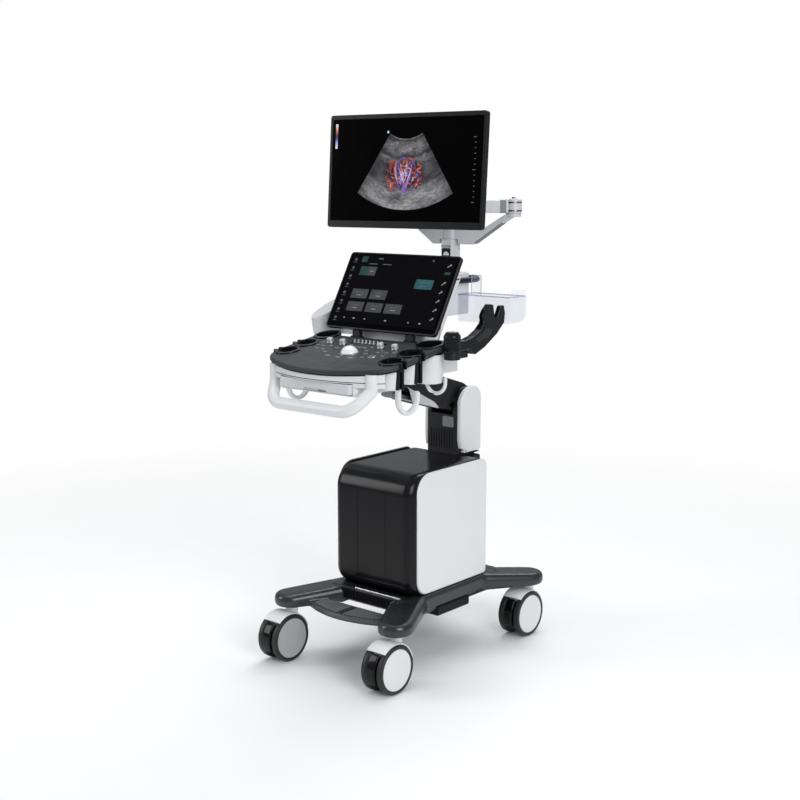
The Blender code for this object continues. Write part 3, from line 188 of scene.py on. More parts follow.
def add_studio():
    """White surroundings, soft boxes and a pale floor that fades into the white."""
    world = bpy.data.worlds.new("studio")
    bpy.context.scene.world = world
    world.use_nodes = True
    tree = world.node_tree
    tree.nodes.clear()
    ambient = add_node(tree, "Background", {"Color": (0.93, 0.96, 1.0, 1.0), "Strength": 0.36})
    seen = add_node(tree, "Background", {"Color": (1.0, 1.0, 1.0, 1.0), "Strength": 1.0})
    path = add_node(tree, "LightPath")
    mix = add_node(tree, "MixShader", {"Fac": path.outputs["Is Camera Ray"],
                                       1: ambient.outputs["Background"], 2: seen.outputs["Background"]})
    add_node(tree, "OutputWorld", {"Surface": mix.outputs["Shader"]})
    add_softbox("key", (3.3, -1.5, 2.1), (0.0, 0.0, 0.7), (2.0, 2.4), 80)
    add_softbox("top", (-0.3, 0.3, 3.6), (0.0, 0.0, 0.6), (3.2, 3.2), 52)
    add_softbox("left", (-2.6, -2.6, 1.9), (0.0, 0.0, 0.7), (1.0, 2.4), 34)
    add_softbox("back", (-1.2, 2.6, 3.6), (0.0, 0.0, 0.9), (2.4, 1.6), 45)
    add_floor()


def add_floor():
    """Round pale floor about the machine."""
    mesh = bpy.data.meshes.new("floor")
    count = 96
    angles = [2 * math.pi * i / count for i in range(count)]
    points = [(FLOOR_RADIUS * math.cos(angle), FLOOR_RADIUS * math.sin(angle), 0.0) for angle in angles]
    mesh.from_pydata(points, [], [tuple(range(count))])
    floor = bpy.data.objects.new("floor", mesh)
    bpy.context.scene.collection.objects.link(floor)
    mesh.materials.append(floor_material())


def floor_material():
    """Matt pale floor, faintly mottled, that fades out far from the machine."""
    made, tree, shader = new_material("floor_pale")
    place = object_place(tree)
    tint = ramp(tree, noise(tree, place, 6.0), ((0.0, (0.95, 0.95, 0.95)), (1.0, (0.98, 0.98, 0.98))))
    far = add_node(tree, "VectorMath", {0: place}, "LENGTH").outputs["Value"]
    set_inputs(tree, shader, {"Base Color": tint, "Roughness": 0.75, "Specular IOR Level": 0.2,
                              "Alpha": map_range(tree, far, 0.5, 3.2, 1.0, 0.0, True)})
    return made


# ---------------------------------------------------------------- materials

def finish(name, colour, roughness, metallic=0.0, grain=0.0, grain_size=900.0, mottle=0.03, spread=0.05,
           coat=0.0, alpha=1.0, specular=0.5, peel=0.0):
    """Principled material with procedural colour and roughness variation and a fine surface grain.

    grain is the height of the moulded texture, peel that of a slow waviness as in paint.
    """
    made, tree, shader = new_material(name)
    place = object_place(tree)
    rough = map_range(tree, noise(tree, place, 26.0, 6.0), 0.3, 0.7, max(0.02, roughness - spread),
                      roughness + spread)
    values = {"Base Color": ramp(tree, noise(tree, place, 9.0, 5.0), shades(colour, mottle)),
              "Roughness": rough, "Metallic": metallic, "Coat Weight": coat, "Coat Roughness": 0.06,
              "Alpha": alpha, "Specular IOR Level": specular}
    normal = None
    if grain > 0.0:
        normal = bump(tree, noise(tree, place, grain_size), grain, 0.0004)
    if peel > 0.0:
        normal = bump(tree, noise(tree, place, 160.0, 1.0), peel, 0.0006, normal)
    if normal:
        values["Normal"] = normal
    set_inputs(tree, shader, values)
    return made


# Each look: colour, roughness, and what differs from finish's own settings.
LOOKS = {
    "white_plastic": ((0.76, 0.77, 0.785), 0.34, dict(grain=0.05, mottle=0.008, spread=0.03)),
    "side_white": ((0.78, 0.785, 0.8), 0.34, dict(grain=0.04, mottle=0.006, spread=0.03)),
    "grey_plastic": ((0.56, 0.57, 0.585), 0.33, dict(grain=0.08, grain_size=800, mottle=0.02)),
    "pale_grey": ((0.68, 0.69, 0.705), 0.3, dict(grain=0.05, grain_size=700, mottle=0.02)),
    "mid_grey": ((0.2, 0.205, 0.215), 0.42, dict(grain=0.18, grain_size=700, mottle=0.05)),
    "black_gloss": ((0.005, 0.005, 0.006), 0.13, dict(mottle=0.1, spread=0.03, specular=0.42)),
    "black_satin": ((0.01, 0.01, 0.012), 0.42, dict(specular=0.32, grain=0.22, grain_size=750,
                                                      mottle=0.1, spread=0.07)),
    "charcoal_panel": ((0.036, 0.037, 0.041), 0.48, dict(specular=0.34, grain=0.3, grain_size=1400,
                                                         mottle=0.05, spread=0.06)),
    "base_paint": ((0.018, 0.019, 0.022), 0.25, dict(grain=0.03, mottle=0.05, spread=0.03, specular=0.62)),
    "rubber": ((0.028, 0.028, 0.031), 0.62, dict(specular=0.3, grain=0.45, grain_size=420, mottle=0.12,
                                                 spread=0.08)),
    "tray_black": ((0.006, 0.006, 0.007), 0.4, dict(mottle=0.08, spread=0.04, specular=0.15)),
    # the base paint made lighter: painted highlight along the footrest lip; its gloss is real
    "lip_lit_paint": ((0.055, 0.056, 0.06), 0.24, dict(mottle=0.05, spread=0.03, specular=0.6)),
    "tread_rubber": ((0.17, 0.173, 0.18), 0.46, dict(specular=0.45, grain=0.4, grain_size=420,
                                                       mottle=0.12, spread=0.08)),
    "tyre": ((0.014, 0.0145, 0.016), 0.42, dict(specular=0.45, grain=0.3, grain_size=380, mottle=0.14,
                                                spread=0.08)),
    "silver": ((0.7, 0.71, 0.73), 0.26, dict(metallic=1.0, grain=0.05, mottle=0.04)),
    "dark_metal": ((0.2, 0.205, 0.215), 0.34, dict(metallic=0.9, grain=0.08, grain_size=700, mottle=0.06)),
    "clear_plastic": ((0.66, 0.69, 0.88), 0.08, dict(spread=0.03, alpha=0.12, coat=0.1)),
    # darker and more opaque than the clear plastic: painted shade of clear edges seen edge-on
    "clear_edge_shade": ((0.42, 0.45, 0.62), 0.1, dict(spread=0.03, alpha=0.45, coat=0.2)),
    "screen_black": ((0.0012, 0.0012, 0.0015), 0.18, dict(mottle=0.1, spread=0.02, specular=0.02)),
    "caster_white": ((0.83, 0.835, 0.84), 0.3, dict(mottle=0.02, spread=0.04)),
    "lever_black": ((0.0035, 0.0035, 0.004), 0.1, dict(mottle=0.08, spread=0.02, specular=0.22)),
    "cap_white": ((0.74, 0.745, 0.755), 0.36, dict(grain=0.1, grain_size=600, mottle=0.015)),
    # a darker copy of the white cap finish: painted shade on the wheel caps that face the machine
    "cap_shade_grey": ((0.4, 0.405, 0.425), 0.4, dict(grain=0.12, grain_size=600)),
    "cabinet_black": ((0.0055, 0.0055, 0.0065), 0.21, dict(grain=0.02, mottle=0.08, spread=0.03,
                                                           specular=0.24)),
    "ball_white": ((0.86, 0.87, 0.885), 0.16, dict(mottle=0.015, spread=0.04, coat=0.4)),
    "knob_metal": ((0.5, 0.505, 0.52), 0.46, dict(metallic=0.55, grain=0.05, mottle=0.04)),
    "key_silver": ((0.19, 0.195, 0.205), 0.34, dict(metallic=0.3, grain=0.06, mottle=0.06)),
    "touch_case_black": ((0.011, 0.0115, 0.013), 0.32, dict(specular=0.35, grain=0.12, grain_size=800,
                                                            mottle=0.08)),
    "arm_grey": ((0.6, 0.61, 0.63), 0.3, dict(grain=0.05, grain_size=700, mottle=0.02, peel=0.008)),
    "monitor_black": ((0.0065, 0.0065, 0.0075), 0.34, dict(specular=0.24, grain=0.16, grain_size=800,
                                                           mottle=0.08)),
}


def look(name):
    """Material from the table above, made when it is first needed."""
    colour, roughness, more = LOOKS[name]
    full_name = "look_" + name
    return bpy.data.materials.get(full_name) or finish(full_name, colour, roughness, **more)


def glow(name, colour, strength, tone=0.1, specular=0.5):
    """Lit area of a display, with a faint shading so that it doesn't look printed."""
    made, tree, shader = new_material("lit_" + name)
    tint = ramp(tree, noise(tree, object_place(tree), 70.0), shades(colour, tone))
    set_inputs(tree, shader, {"Base Color": (0.004, 0.004, 0.005, 1.0), "Roughness": 0.12,
                              "Specular IOR Level": specular, "Emission Color": tint,
                              "Emission Strength": strength})
    return made


# ---------------------------------------------------------------- mesh building

def mesh_from(points, faces):
    """Return a bmesh with its faces pointing out."""
    shape = bmesh.new()
    verts = [shape.verts.new(point) for point in points]
    for face in faces:
        shape.faces.new([verts[i] for i in face])
    bmesh.ops.remove_doubles(shape, verts=shape.verts, dist=1e-6)
    bmesh.ops.recalc_face_normals(shape, faces=shape.faces)
    return shape


def loft(sections):
    """Join equal closed loops of points and cap both ends."""
    count = len(sections[0])
    points = [point for section in sections for point in section]
    faces = []
    for s in range(len(sections) - 1):
        for i in range(count):
            j = (i + 1) % count
            faces.append((s * count + i, s * count + j, (s + 1) * count + j, (s + 1) * count + i))
    faces.append(tuple(range(count)))
    faces.append(tuple((len(sections) - 1) * count + i for i in range(count)))
    return mesh_from(points, faces)


def on_axis(axis, u, v, along):
    """Place (u, v) in the plane across an axis: X gives (y, z), Y gives (x, z), Z gives (x, y)."""
    if axis == "X":
        return (along, u, v)
    if axis == "Y":
        return (u, along, v)
    return (u, v, along)


def prism(outline, axis, low, high):
    """Extrude a flat outline along an axis."""
    return loft([[on_axis(axis, u, v, along) for u, v in outline] for along in (low, high)])


def box(low, high):
    """Return a plain block, used as a cutter or hidden core."""
    outline = [(low[0], low[1]), (high[0], low[1]), (high[0], high[1]), (low[0], high[1])]
    return prism(outline, "Z", low[2], high[2])


def arc(centre, radius, start, end, steps):
    """Return points on an arc between two angles in degrees, both ends included."""
    points = []
    for i in range(steps + 1):
        angle = math.radians(start + (end - start) * i / steps)
        points.append((centre[0] + radius * math.cos(angle), centre[1] + radius * math.sin(angle)))
    return points


def rounded_outline(u0, u1, v0, v1, radius, steps=8):
    """Return a rectangle with round corners. radius is one number, or four from (u0, v0) counterclockwise."""
    radii = radius if isinstance(radius, tuple) else (radius,) * 4
    corners = ((u0, v0, 1, 1, 180), (u1, v0, -1, 1, 270), (u1, v1, -1, -1, 0), (u0, v1, 1, -1, 90))
    outline = []
    for (u, v, du, dv, start), r in zip(corners, radii):
        if r <= 0.0:
            outline.append((u, v))
        else:
            outline += arc((u + du * r, v + dv * r), r, start, start + 90, steps)
    return outline


def fillet(outline, radius, steps=6):
    """Round every corner of a polygon. radius is one number or one per corner."""
    count = len(outline)
    radii = radius if isinstance(radius, (list, tuple)) else [radius] * count
    result = []
    for i in range(count):
        here = Vector(outline[i])
        back = Vector(outline[i - 1]) - here
        ahead = Vector(outline[(i + 1) % count]) - here
        angle = back.angle(ahead)
        if radii[i] <= 0.0 or angle > math.radians(178):
            result.append(tuple(here))
            continue
        reach = radii[i] / math.tan(angle / 2.0)
        reach = min(reach, 0.48 * back.length, 0.48 * ahead.length)
        start = here + back.normalized() * reach
        end = here + ahead.normalized() * reach
        for k in range(steps + 1):
            t = k / steps
            result.append(tuple(start.lerp(here, t).lerp(here.lerp(end, t), t)))
    return result


def inset(outline, distance):
    """Move an outline inwards by a distance."""
    count = len(outline)
    area = 0.0
    for i in range(count):
        a = outline[i - 1]
        b = outline[i]
        area += a[0] * b[1] - b[0] * a[1]
    turn = 1.0 if area > 0 else -1.0
    result = []
    for i in range(count):
        here = Vector(outline[i])
        into = (here - Vector(outline[i - 1])).normalized()
        out = (Vector(outline[(i + 1) % count]) - here).normalized()
        first = Vector((-into.y, into.x)) * turn
        second = Vector((-out.y, out.x)) * turn
        middle = first + second
        if middle.length < 1e-6:
            result.append(tuple(here))
            continue
        middle.normalize()
        scale = distance / max(0.4, middle.dot(first))
        result.append(tuple(here + middle * scale))
    return result


def slab(outline, axis, low, high, edge, edge_low=None, steps=4):
    """Extruded outline whose two rims are rounded by edge (at high) and edge_low (at low)."""
    edge_low = edge if edge_low is None else edge_low
    quarter = [math.pi / 2 * k / steps for k in range(steps + 1)]
    rows = [(low, 0.0)]
    if edge_low > 0.0:
        rows = [(low + edge_low * (1.0 - math.cos(angle)),
                 edge_low * (1.0 - math.sin(angle))) for angle in quarter]
    if edge > 0.0:
        rows += [(high - edge * (1.0 - math.sin(angle)), edge * (1.0 - math.cos(angle))) for angle in quarter]
    else:
        rows.append((high, 0.0))
    sections = []
    for along, distance in rows:
        ring = inset(outline, distance) if distance > 0.0 else outline
        sections.append([on_axis(axis, u, v, along) for u, v in ring])
    return loft(sections)


def block(low, high, radius, edge, axis="Z", steps=6):
    """Box with round corners along one axis and rounded rims."""
    first, second = {"X": (1, 2), "Y": (0, 2), "Z": (0, 1)}[axis]
    along = 3 - first - second
    outline = rounded_outline(low[first], high[first], low[second], high[second], radius, steps)
    return slab(outline, axis, low[along], high[along], edge)


def turned(profile, centre=(0, 0, 0), axis="Z", sides=48):
    """Turn (radius, height) points about an axis through centre. The profile is a closed outline."""
    points = []
    for i in range(sides):
        angle = 2.0 * math.pi * i / sides
        for radius, height in profile:
            u = radius * math.cos(angle)
            v = radius * math.sin(angle)
            points.append(Vector(on_axis(axis, u, v, height)) + Vector(centre))
    count = len(profile)
    faces = []
    for i in range(sides):
        after = (i + 1) % sides
        for k in range(count):
            n = (k + 1) % count
            corners = [i * count + k, after * count + k, after * count + n, i * count + n]
            if profile[k][0] == 0.0 and profile[n][0] == 0.0:
                continue
            if profile[k][0] == 0.0:
                corners.pop(1)
            elif profile[n][0] == 0.0:
                corners.pop(2)
            faces.append(tuple(corners))
    return mesh_from(points, faces)


def rounded_profile(points, radius, steps=4):
    """Round the corners of a turning profile that are away from the axis."""
    radii = [0.0 if point[0] == 0.0 else radius for point in points]
    return fillet(points, radii, steps)


def cylinder(centre, radius, low, high, axis="Z", sides=32):
    """Plain cylinder, used as a cutter or hidden core."""
    return turned([(0.0, low), (radius, low), (radius, high), (0.0, high)], centre, axis, sides)


def curve_through(points, per_span=8):
    """Return a smooth path through points."""
    pts = [Vector(p) for p in points]
    pts = [pts[0] * 2 - pts[1]] + pts + [pts[-1] * 2 - pts[-2]]
    path = []
    for i in range(1, len(pts) - 2):
        p0, p1, p2, p3 = pts[i - 1:i + 3]
        for k in range(per_span):
            t = k / per_span
            path.append(0.5 * ((2 * p1) + (p2 - p0) * t + (2 * p0 - 5 * p1 + 4 * p2 - p3) * t * t
                               + (3 * p1 - p0 - 3 * p2 + p3) * t * t * t))
    path.append(pts[-2])
    return path


def tube(path, radius, sides=20, round_ends=True):
    """Sweep a round section along a path, with rounded ends."""
    path = [Vector(point) for point in path]
    sizes = [1.0] * len(path)
    if round_ends:
        first = (path[0] - path[1]).normalized()
        last = (path[-1] - path[-2]).normalized()
        head = []
        tail = []
        for k in range(5):
            angle = math.pi / 2 * (k + 0.02) / 5
            head.append((path[0] + first * radius * math.cos(angle), math.sin(angle)))
            tail.append((path[-1] + last * radius * math.cos(angle), math.sin(angle)))
        path = [p for p, _ in head] + path + [p for p, _ in reversed(tail)]
        sizes = [s for _, s in head] + sizes + [s for _, s in reversed(tail)]
    tangents = []
    for i in range(len(path)):
        before = (path[i] - path[i - 1]).normalized() if i else Vector()
        after = (path[i + 1] - path[i]).normalized() if i < len(path) - 1 else Vector()
        tangents.append((before + after).normalized())
    side = tangents[0].orthogonal().normalized()
    sections = []
    for point, tangent, size in zip(path, tangents, sizes):
        side = (side - tangent * side.dot(tangent)).normalized()
        other = tangent.cross(side)
        ring = []
        for i in range(sides):
            angle = 2.0 * math.pi * i / sides
            ring.append(point + (side * math.cos(angle) + other * math.sin(angle)) * radius * size)
        sections.append(ring)
    return loft(sections)


def moved(shape, matrix):
    """Transform a bmesh."""
    shape.transform(matrix)
    return shape


def joined(*shapes):
    """Put several closed shapes into one bmesh without merging them."""
    first = shapes[0]
    for shape in shapes[1:]:
        mesh = bpy.data.meshes.new("temporary")
        shape.to_mesh(mesh)
        shape.free()
        first.from_mesh(mesh)
        bpy.data.meshes.remove(mesh)
    return first


def holder_of(shape):
    """Put a bmesh into a temporary object."""
    mesh = bpy.data.meshes.new("temporary")
    shape.to_mesh(mesh)
    shape.free()
    thing = bpy.data.objects.new("temporary", mesh)
    bpy.context.scene.collection.objects.link(thing)
    return thing


def evaluated_bmesh(holder, extra=()):
    """Return what a temporary object looks like after its modifiers, and remove it."""
    bpy.context.view_layer.update()
    evaluated = holder.evaluated_get(bpy.context.evaluated_depsgraph_get())
    result = bmesh.new()
    result.from_mesh(evaluated.to_mesh())
    evaluated.to_mesh_clear()
    for thing in [holder] + list(extra):
        mesh = thing.data
        bpy.data.objects.remove(thing)
        bpy.data.meshes.remove(mesh)
    return result


def combine(operation, shape, others):
    """Apply an exact Boolean to a bmesh for each of the other shapes."""
    holder = holder_of(shape)
    tools = []
    for other in others:
        tool = holder_of(other)
        tools.append(tool)
        modifier = holder.modifiers.new("combine", "BOOLEAN")
        modifier.operation = operation
        modifier.solver = "EXACT"
        modifier.object = tool
    return evaluated_bmesh(holder, tools)


def union(shape, *others):
    return combine("UNION", shape, others)


def cut(shape, *others):
    return combine("DIFFERENCE", shape, others)


def intersected(shape, *others):
    return combine("INTERSECT", shape, others)


def melted(shape, voxel, passes=6, factor=0.5):
    """Fuse overlapping shapes into one skin and soften its edges, as in a casting or moulding."""
    holder = holder_of(shape)
    fuse = holder.modifiers.new("fuse", "REMESH")
    fuse.mode = "VOXEL"
    fuse.voxel_size = voxel
    soften = holder.modifiers.new("soften", "SMOOTH")
    soften.iterations = passes
    soften.factor = factor
    return evaluated_bmesh(holder)


def span(side, inner, outer):
    """Low and high X of something between two distances from the mid-plane, on one side."""
    return sorted((side * inner, side * outer))


def upright(place, radius, low, high, sides=28):
    """Vertical cutter or core through a point, between two heights."""
    return cylinder((place[0], place[1], 0.0), radius, low, high, "Z", sides)


def disc(place, radius, low, high, edge=0.0015, sides=48, steps=3, inner=0.0):
    """Upright disc with rounded rims, or a ring when it has an inner radius."""
    profile = rounded_profile([(inner, low), (radius, low), (radius, high), (inner, high)], edge, steps)
    return turned(profile, (place[0], place[1], 0.0), "Z", sides)


def sloped(shape):
    """Shear a shape built flat at Z = 0 onto the control panel's slope."""
    for vert in shape.verts:
        vert.co.z += PANEL_Z + PANEL_SLOPE * (vert.co.y - PANEL_Y)
    return shape


def panel_z(y, depth=0.0):
    """Height of the control panel's surface at y, less a depth."""
    return PANEL_Z + PANEL_SLOPE * (y - PANEL_Y) - depth


def panel_matrix(x, y):
    """Matrix that stands a local Z on the panel's surface at (x, y)."""
    tilt = Matrix.Rotation(math.atan(PANEL_SLOPE), 4, "X")
    return Matrix.Translation((x, y, panel_z(y))) @ tilt


def piece(name, shape, material, body, replaces=(), angle=38, bevel=0.0, flat=True):
    """Make a finished object from a bmesh in the machine's frame, riding on a body.

    material is the name of a look or a material of its own.
    """
    shape.transform(Matrix.Translation(ORIGIN))
    mesh = bpy.data.meshes.new(name)
    bmesh.ops.recalc_face_normals(shape, faces=shape.faces)
    shape.to_mesh(mesh)
    shape.free()
    mesh.materials.append(look(material) if isinstance(material, str) else material)
    mesh.shade_smooth()
    mesh.set_sharp_from_angle(angle=math.radians(angle))
    thing = bpy.data.objects.new(name, mesh)
    bpy.context.scene.collection.objects.link(thing)
    if bevel > 0.0:
        soften = thing.modifiers.new("edges", "BEVEL")
        soften.width = bevel
        soften.segments = 2
        soften.limit_method = "ANGLE"
        soften.angle_limit = math.radians(35)
        soften.harden_normals = False
    if flat:
        normals = thing.modifiers.new("normals", "WEIGHTED_NORMAL")
        normals.keep_sharp = True
    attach(thing, body)
    if replaces:
        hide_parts(*([replaces] if isinstance(replaces, str) else replaces))
    return thing


# ---------------------------------------------------------------- casters

def wheel_point(radius, angle):
    """Return a (y, z) point about the axle, at an angle in degrees from the front, upwards."""
    return (-radius * math.cos(math.radians(angle)), radius * math.sin(math.radians(angle)))


def sector(inner, outer, start, end, steps):
    """Return a ring sector about the axle as (y, z) points."""
    angles = [start + (end - start) * i / steps for i in range(steps + 1)]
    return [wheel_point(outer, a) for a in angles] + [wheel_point(inner, a) for a in reversed(angles)]


def hood(inner, outer, start, end, half, crown, steps=28, rows=10):
    """Curved fender whose outer skin is crowned across its width and tucked in at its sides."""
    sections = []
    for i in range(steps + 1):
        angle = start + (end - start) * i / steps
        ring = []
        for k in range(rows + 1):
            x = -half + 2.0 * half * k / rows
            drop = crown * (abs(x) / half) ** 3
            v = wheel_point(outer - drop, angle)
            ring.append((x, *v))
        for k in range(rows + 1):
            x = half - 2.0 * half * k / rows
            v = wheel_point(inner - crown * 0.4 * (abs(x) / half) ** 3, angle)
            ring.append((x * 0.97, *v))
        sections.append(ring)
    return loft(sections)


def caster_housing(stem, axle):
    """Web, crowned hood, stem and axle stubs."""
    web = sector(0.008, 0.0655, 51, 172, 24)
    shape = slab(web, "X", -0.0145, 0.0145, 0.0012, steps=2)
    hub = cylinder((0, 0, 0), 0.0125, -0.0145, 0.0145, "X", 32)
    shade = hood(0.0648, 0.0685, 50, 165, 0.03, 0.0022)
    stubs = cylinder((0, 0, 0), 0.006, -0.0275, 0.0275, "X", 24)
    rise = Vector(stem) - Vector(axle)
    low = 0.055 - rise.z
    high = 0.137 + 0.0225 - stem[2]
    profile = [(0.0, low), (0.0165, low), (0.0165, 0.119), (0.015, 0.1205), (0.015, 0.1235), (0.0165, 0.125),
               (0.0165, high), (0.0, high)]
    post = turned(profile, rise, "Z", 40)
    shape = union(shape, hub, shade, stubs, post)
    return moved(shape, Matrix.Translation(axle))


def brake_lever(axle):
    """Glossy foot lever."""
    outline = sector(0.0134, 0.066, -26, 46, 20)
    shape = slab(outline, "X", -0.0133, 0.0133, 0.004, steps=5)
    return moved(shape, Matrix.Translation(axle))


def tyre(side, axle):
    """Rubber tyre with a crowned tread, two fine grooves and a recess for the cap."""
    profile = [(0.0072, 0.0163), (0.052, 0.0163), (0.0545, 0.0155), (0.059, 0.0158), (0.0615, 0.0172),
               (0.0625, 0.0195), (0.0625, 0.0205), (0.0616, 0.0209), (0.0616, 0.0213), (0.0625, 0.0217),
               (0.0625, 0.0281), (0.0616, 0.0285), (0.0616, 0.0289), (0.0625, 0.0293), (0.0622, 0.0316),
               (0.0606, 0.0333), (0.058, 0.034), (0.055, 0.0338), (0.0537, 0.033), (0.0533, 0.03),
               (0.0072, 0.03)]
    return turned([(r, side * x) for r, x in profile], axle, "X", 96)


def wheel_cap(side, axle):
    """Slightly domed cap disc with a fine step at its rim."""
    profile = [(0.0, 0.0303), (0.0527, 0.0303), (0.0527, 0.0324), (0.0519, 0.0332), (0.0499, 0.0334),
               (0.0492, 0.033), (0.0479, 0.0331), (0.031, 0.0336), (0.015, 0.0339), (0.0, 0.034)]
    return turned([(r, side * x) for r, x in profile], axle, "X", 96)


def add_casters():
    for name, (x, y) in CASTERS.items():
        stem = (x, y, 0.0)
        axle = Vector((x, y - CASTER_TRAIL, WHEEL_RADIUS))
        outward = 1 if x > 0 else -1
        piece("caster_" + name, caster_housing(stem, axle), "caster_white", "fork_" + name,
              "caster_housing_" + name, bevel=0.0006)
        piece("lever_" + name, brake_lever(axle), "lever_black", "brake_" + name,
              "brake_lever_" + name)
        for side, which in ((1, "outer"), (-1, "inner")):
            body = which + "_" + name
            piece("tyre_" + body, tyre(side, axle), "tyre", body, "wheel_" + body)
            # caps facing the machine's mid-plane get the darker grey: painted shade on those wheel sides
            cap = look("cap_white") if side == outward else look("cap_shade_grey")
            piece("cap_" + body, wheel_cap(side, axle), cap, body)
            profile = rounded_profile([(0.0066, side * 0.0158), (0.0118, side * 0.0158),
                                       (0.0118, side * 0.017), (0.0066, side * 0.017)], 0.0003, 1)
            piece("bearing_" + body, turned(profile, axle, "X", 32), "silver", body)


# ---------------------------------------------------------------- base

def leg(foot, foot_radius, body, body_radius):
    """A round-nosed leg rising from its caster to the frame's body."""
    foot = Vector((*foot, 0.0))
    body = Vector((*body, 0.0))
    along = (body - foot).normalized()
    heading = math.degrees(math.atan2(along.y, along.x))
    outline = arc(foot, foot_radius, heading + 90, heading + 270, 28)
    outline += arc(body, body_radius, heading - 90, heading + 90, 20)
    low, high = 0.142, 0.1765
    shape = slab(outline, "Z", low, high, 0.015, 0.009, 6)
    reach = (body - foot).length
    for vert in shape.verts:
        t = min(1.0, max(0.0, ((vert.co - foot).dot(along) + 0.012) / (0.75 * reach)))
        vert.co.z += 0.013 * t * t * (3 - 2 * t) * (vert.co.z - low) / (high - low)
    return shape


def footrest_front(x, inward=0.0):
    """Y of the footrest's bowed front edge."""
    return -0.25 - 0.046 * (1.0 - (x / 0.15) ** 2) + inward


def footrest_outline(half, front_inward, rear, steps=32):
    """Curved bar between the front legs, in plan."""
    front = [(-half + 2.0 * half * i / steps, 0.0) for i in range(steps + 1)]
    return [(x, footrest_front(x, front_inward)) for x, _ in front] + [(half, rear), (-half, rear)]


def base_frame():
    """Cast frame: a body, four legs with round ends and a bowed footrest bar, fused and softened."""
    body = slab(rounded_outline(-0.1465, 0.1465, -0.1775, 0.2375, 0.034, 8), "Z", 0.1375, 0.1885, 0.01)
    parts = [slab(footrest_outline(0.153, 0.0, -0.2115), "Z", 0.143, 0.156, 0.0045)]
    for x, y in CASTERS.values():
        if y < 0:
            parts.append(leg((x, y), 0.0458, (math.copysign(0.102, x), -0.12), 0.047))
        else:
            parts.append(leg((x, y - 0.007), 0.0458, (math.copysign(0.102, x), 0.16), 0.047))
    shape = melted(joined(body, *parts), 0.0026, 20, 0.5)
    relief = [(-0.21, 0.156), (-0.164, 0.156), (-0.14, 0.1375), (-0.14, 0.13), (-0.21, 0.13)]
    relief = intersected(prism(relief, "X", -0.096, 0.096), box((-0.1, -0.2105, 0.12), (0.1, 0.0, 0.2)))
    deck = slab(rounded_outline(-0.1135, 0.1135, -0.143, 0.205, 0.014, 5), "Z", 0.178, 0.21, 0.0, 0.004)
    holes = [upright((x, y), 0.0175, 0.1, 0.16, 40) for x, y in CASTERS.values()]
    return cut(shape, relief, deck, *holes)


def base_tray():
    """Cable tray under the frame."""
    return slab(rounded_outline(-0.1515, 0.1515, -0.064, 0.0745, 0.006, 4), "Z", 0.124, 0.15, 0.002, 0.006)


def footrest_rim():
    """Raised front lip of the footrest."""
    xs = [-0.138 + 0.276 * i / 40 for i in range(41)]
    front = [(x, footrest_front(x, -0.0006)) for x in xs]
    rear = [(x, footrest_front(x, 0.0064)) for x in xs]
    return slab(front + rear[::-1], "Z", 0.15, 0.1603, 0.0026, 0.0, 5)


def footrest_plate():
    """Rubber plate let into the footrest."""
    return slab(footrest_outline(0.118, 0.0088, -0.2142), "Z", 0.1545, 0.1572, 0.0008, 0.0, 2)


def footrest_ribs():
    """Raised cross ribs in two fields."""
    ribs = []
    for i in range(22):
        x = -0.105 + 0.01 * i
        if abs(x) < 0.0055:
            continue
        ribs.append(block((x - 0.0024, footrest_front(x, 0.013), 0.1565), (x + 0.0024, -0.2175, 0.1598),
                          0.002, 0.0012, "Z", 2))
    return joined(*ribs)


def front_grille():
    """Dark slotted cover on the front of the frame's body, between the front legs."""
    cover = block((-0.09, -0.18, 0.1575), (0.096, -0.174, 0.1862), 0.003, 0.0016, "Y", 4)
    slots = [box((-0.08 + 0.012 * i, -0.19, 0.162), (-0.074 + 0.012 * i, -0.1785, 0.1815))
             for i in range(14)]
    return cut(cover, *slots)


def add_base():
    piece("base_casting", base_frame(), "base_paint", "cart", "base_frame", angle=50)
    piece("base_tray", base_tray(), "tray_black", "cart")
    # the lip's lighter colour is a painted highlight on the footrest's front edge
    piece("footrest_lip", footrest_rim(), "lip_lit_paint", "cart")
    piece("footrest_mat", footrest_plate(), "rubber", "cart", "footrest_tread")
    piece("footrest_ribs", footrest_ribs(), "tread_rubber", "cart")
    piece("front_grille", front_grille(), "tray_black", "cart")
    strip = block((-0.048, -0.1705, 0.185), (0.108, -0.16, 0.1912), 0.003, 0.0016)
    piece("front_strip", strip, "silver", "cart")
    for name, (x, y) in CASTERS.items():
        ring = [(0.017, 0.138), (0.0235, 0.138), (0.024, 0.1387), (0.024, 0.144), (0.017, 0.144)]
        piece("boss_ring_" + name, turned(ring, (x, y, 0.0), "Z", 40), "black_satin", "cart")


# ---------------------------------------------------------------- cabinet

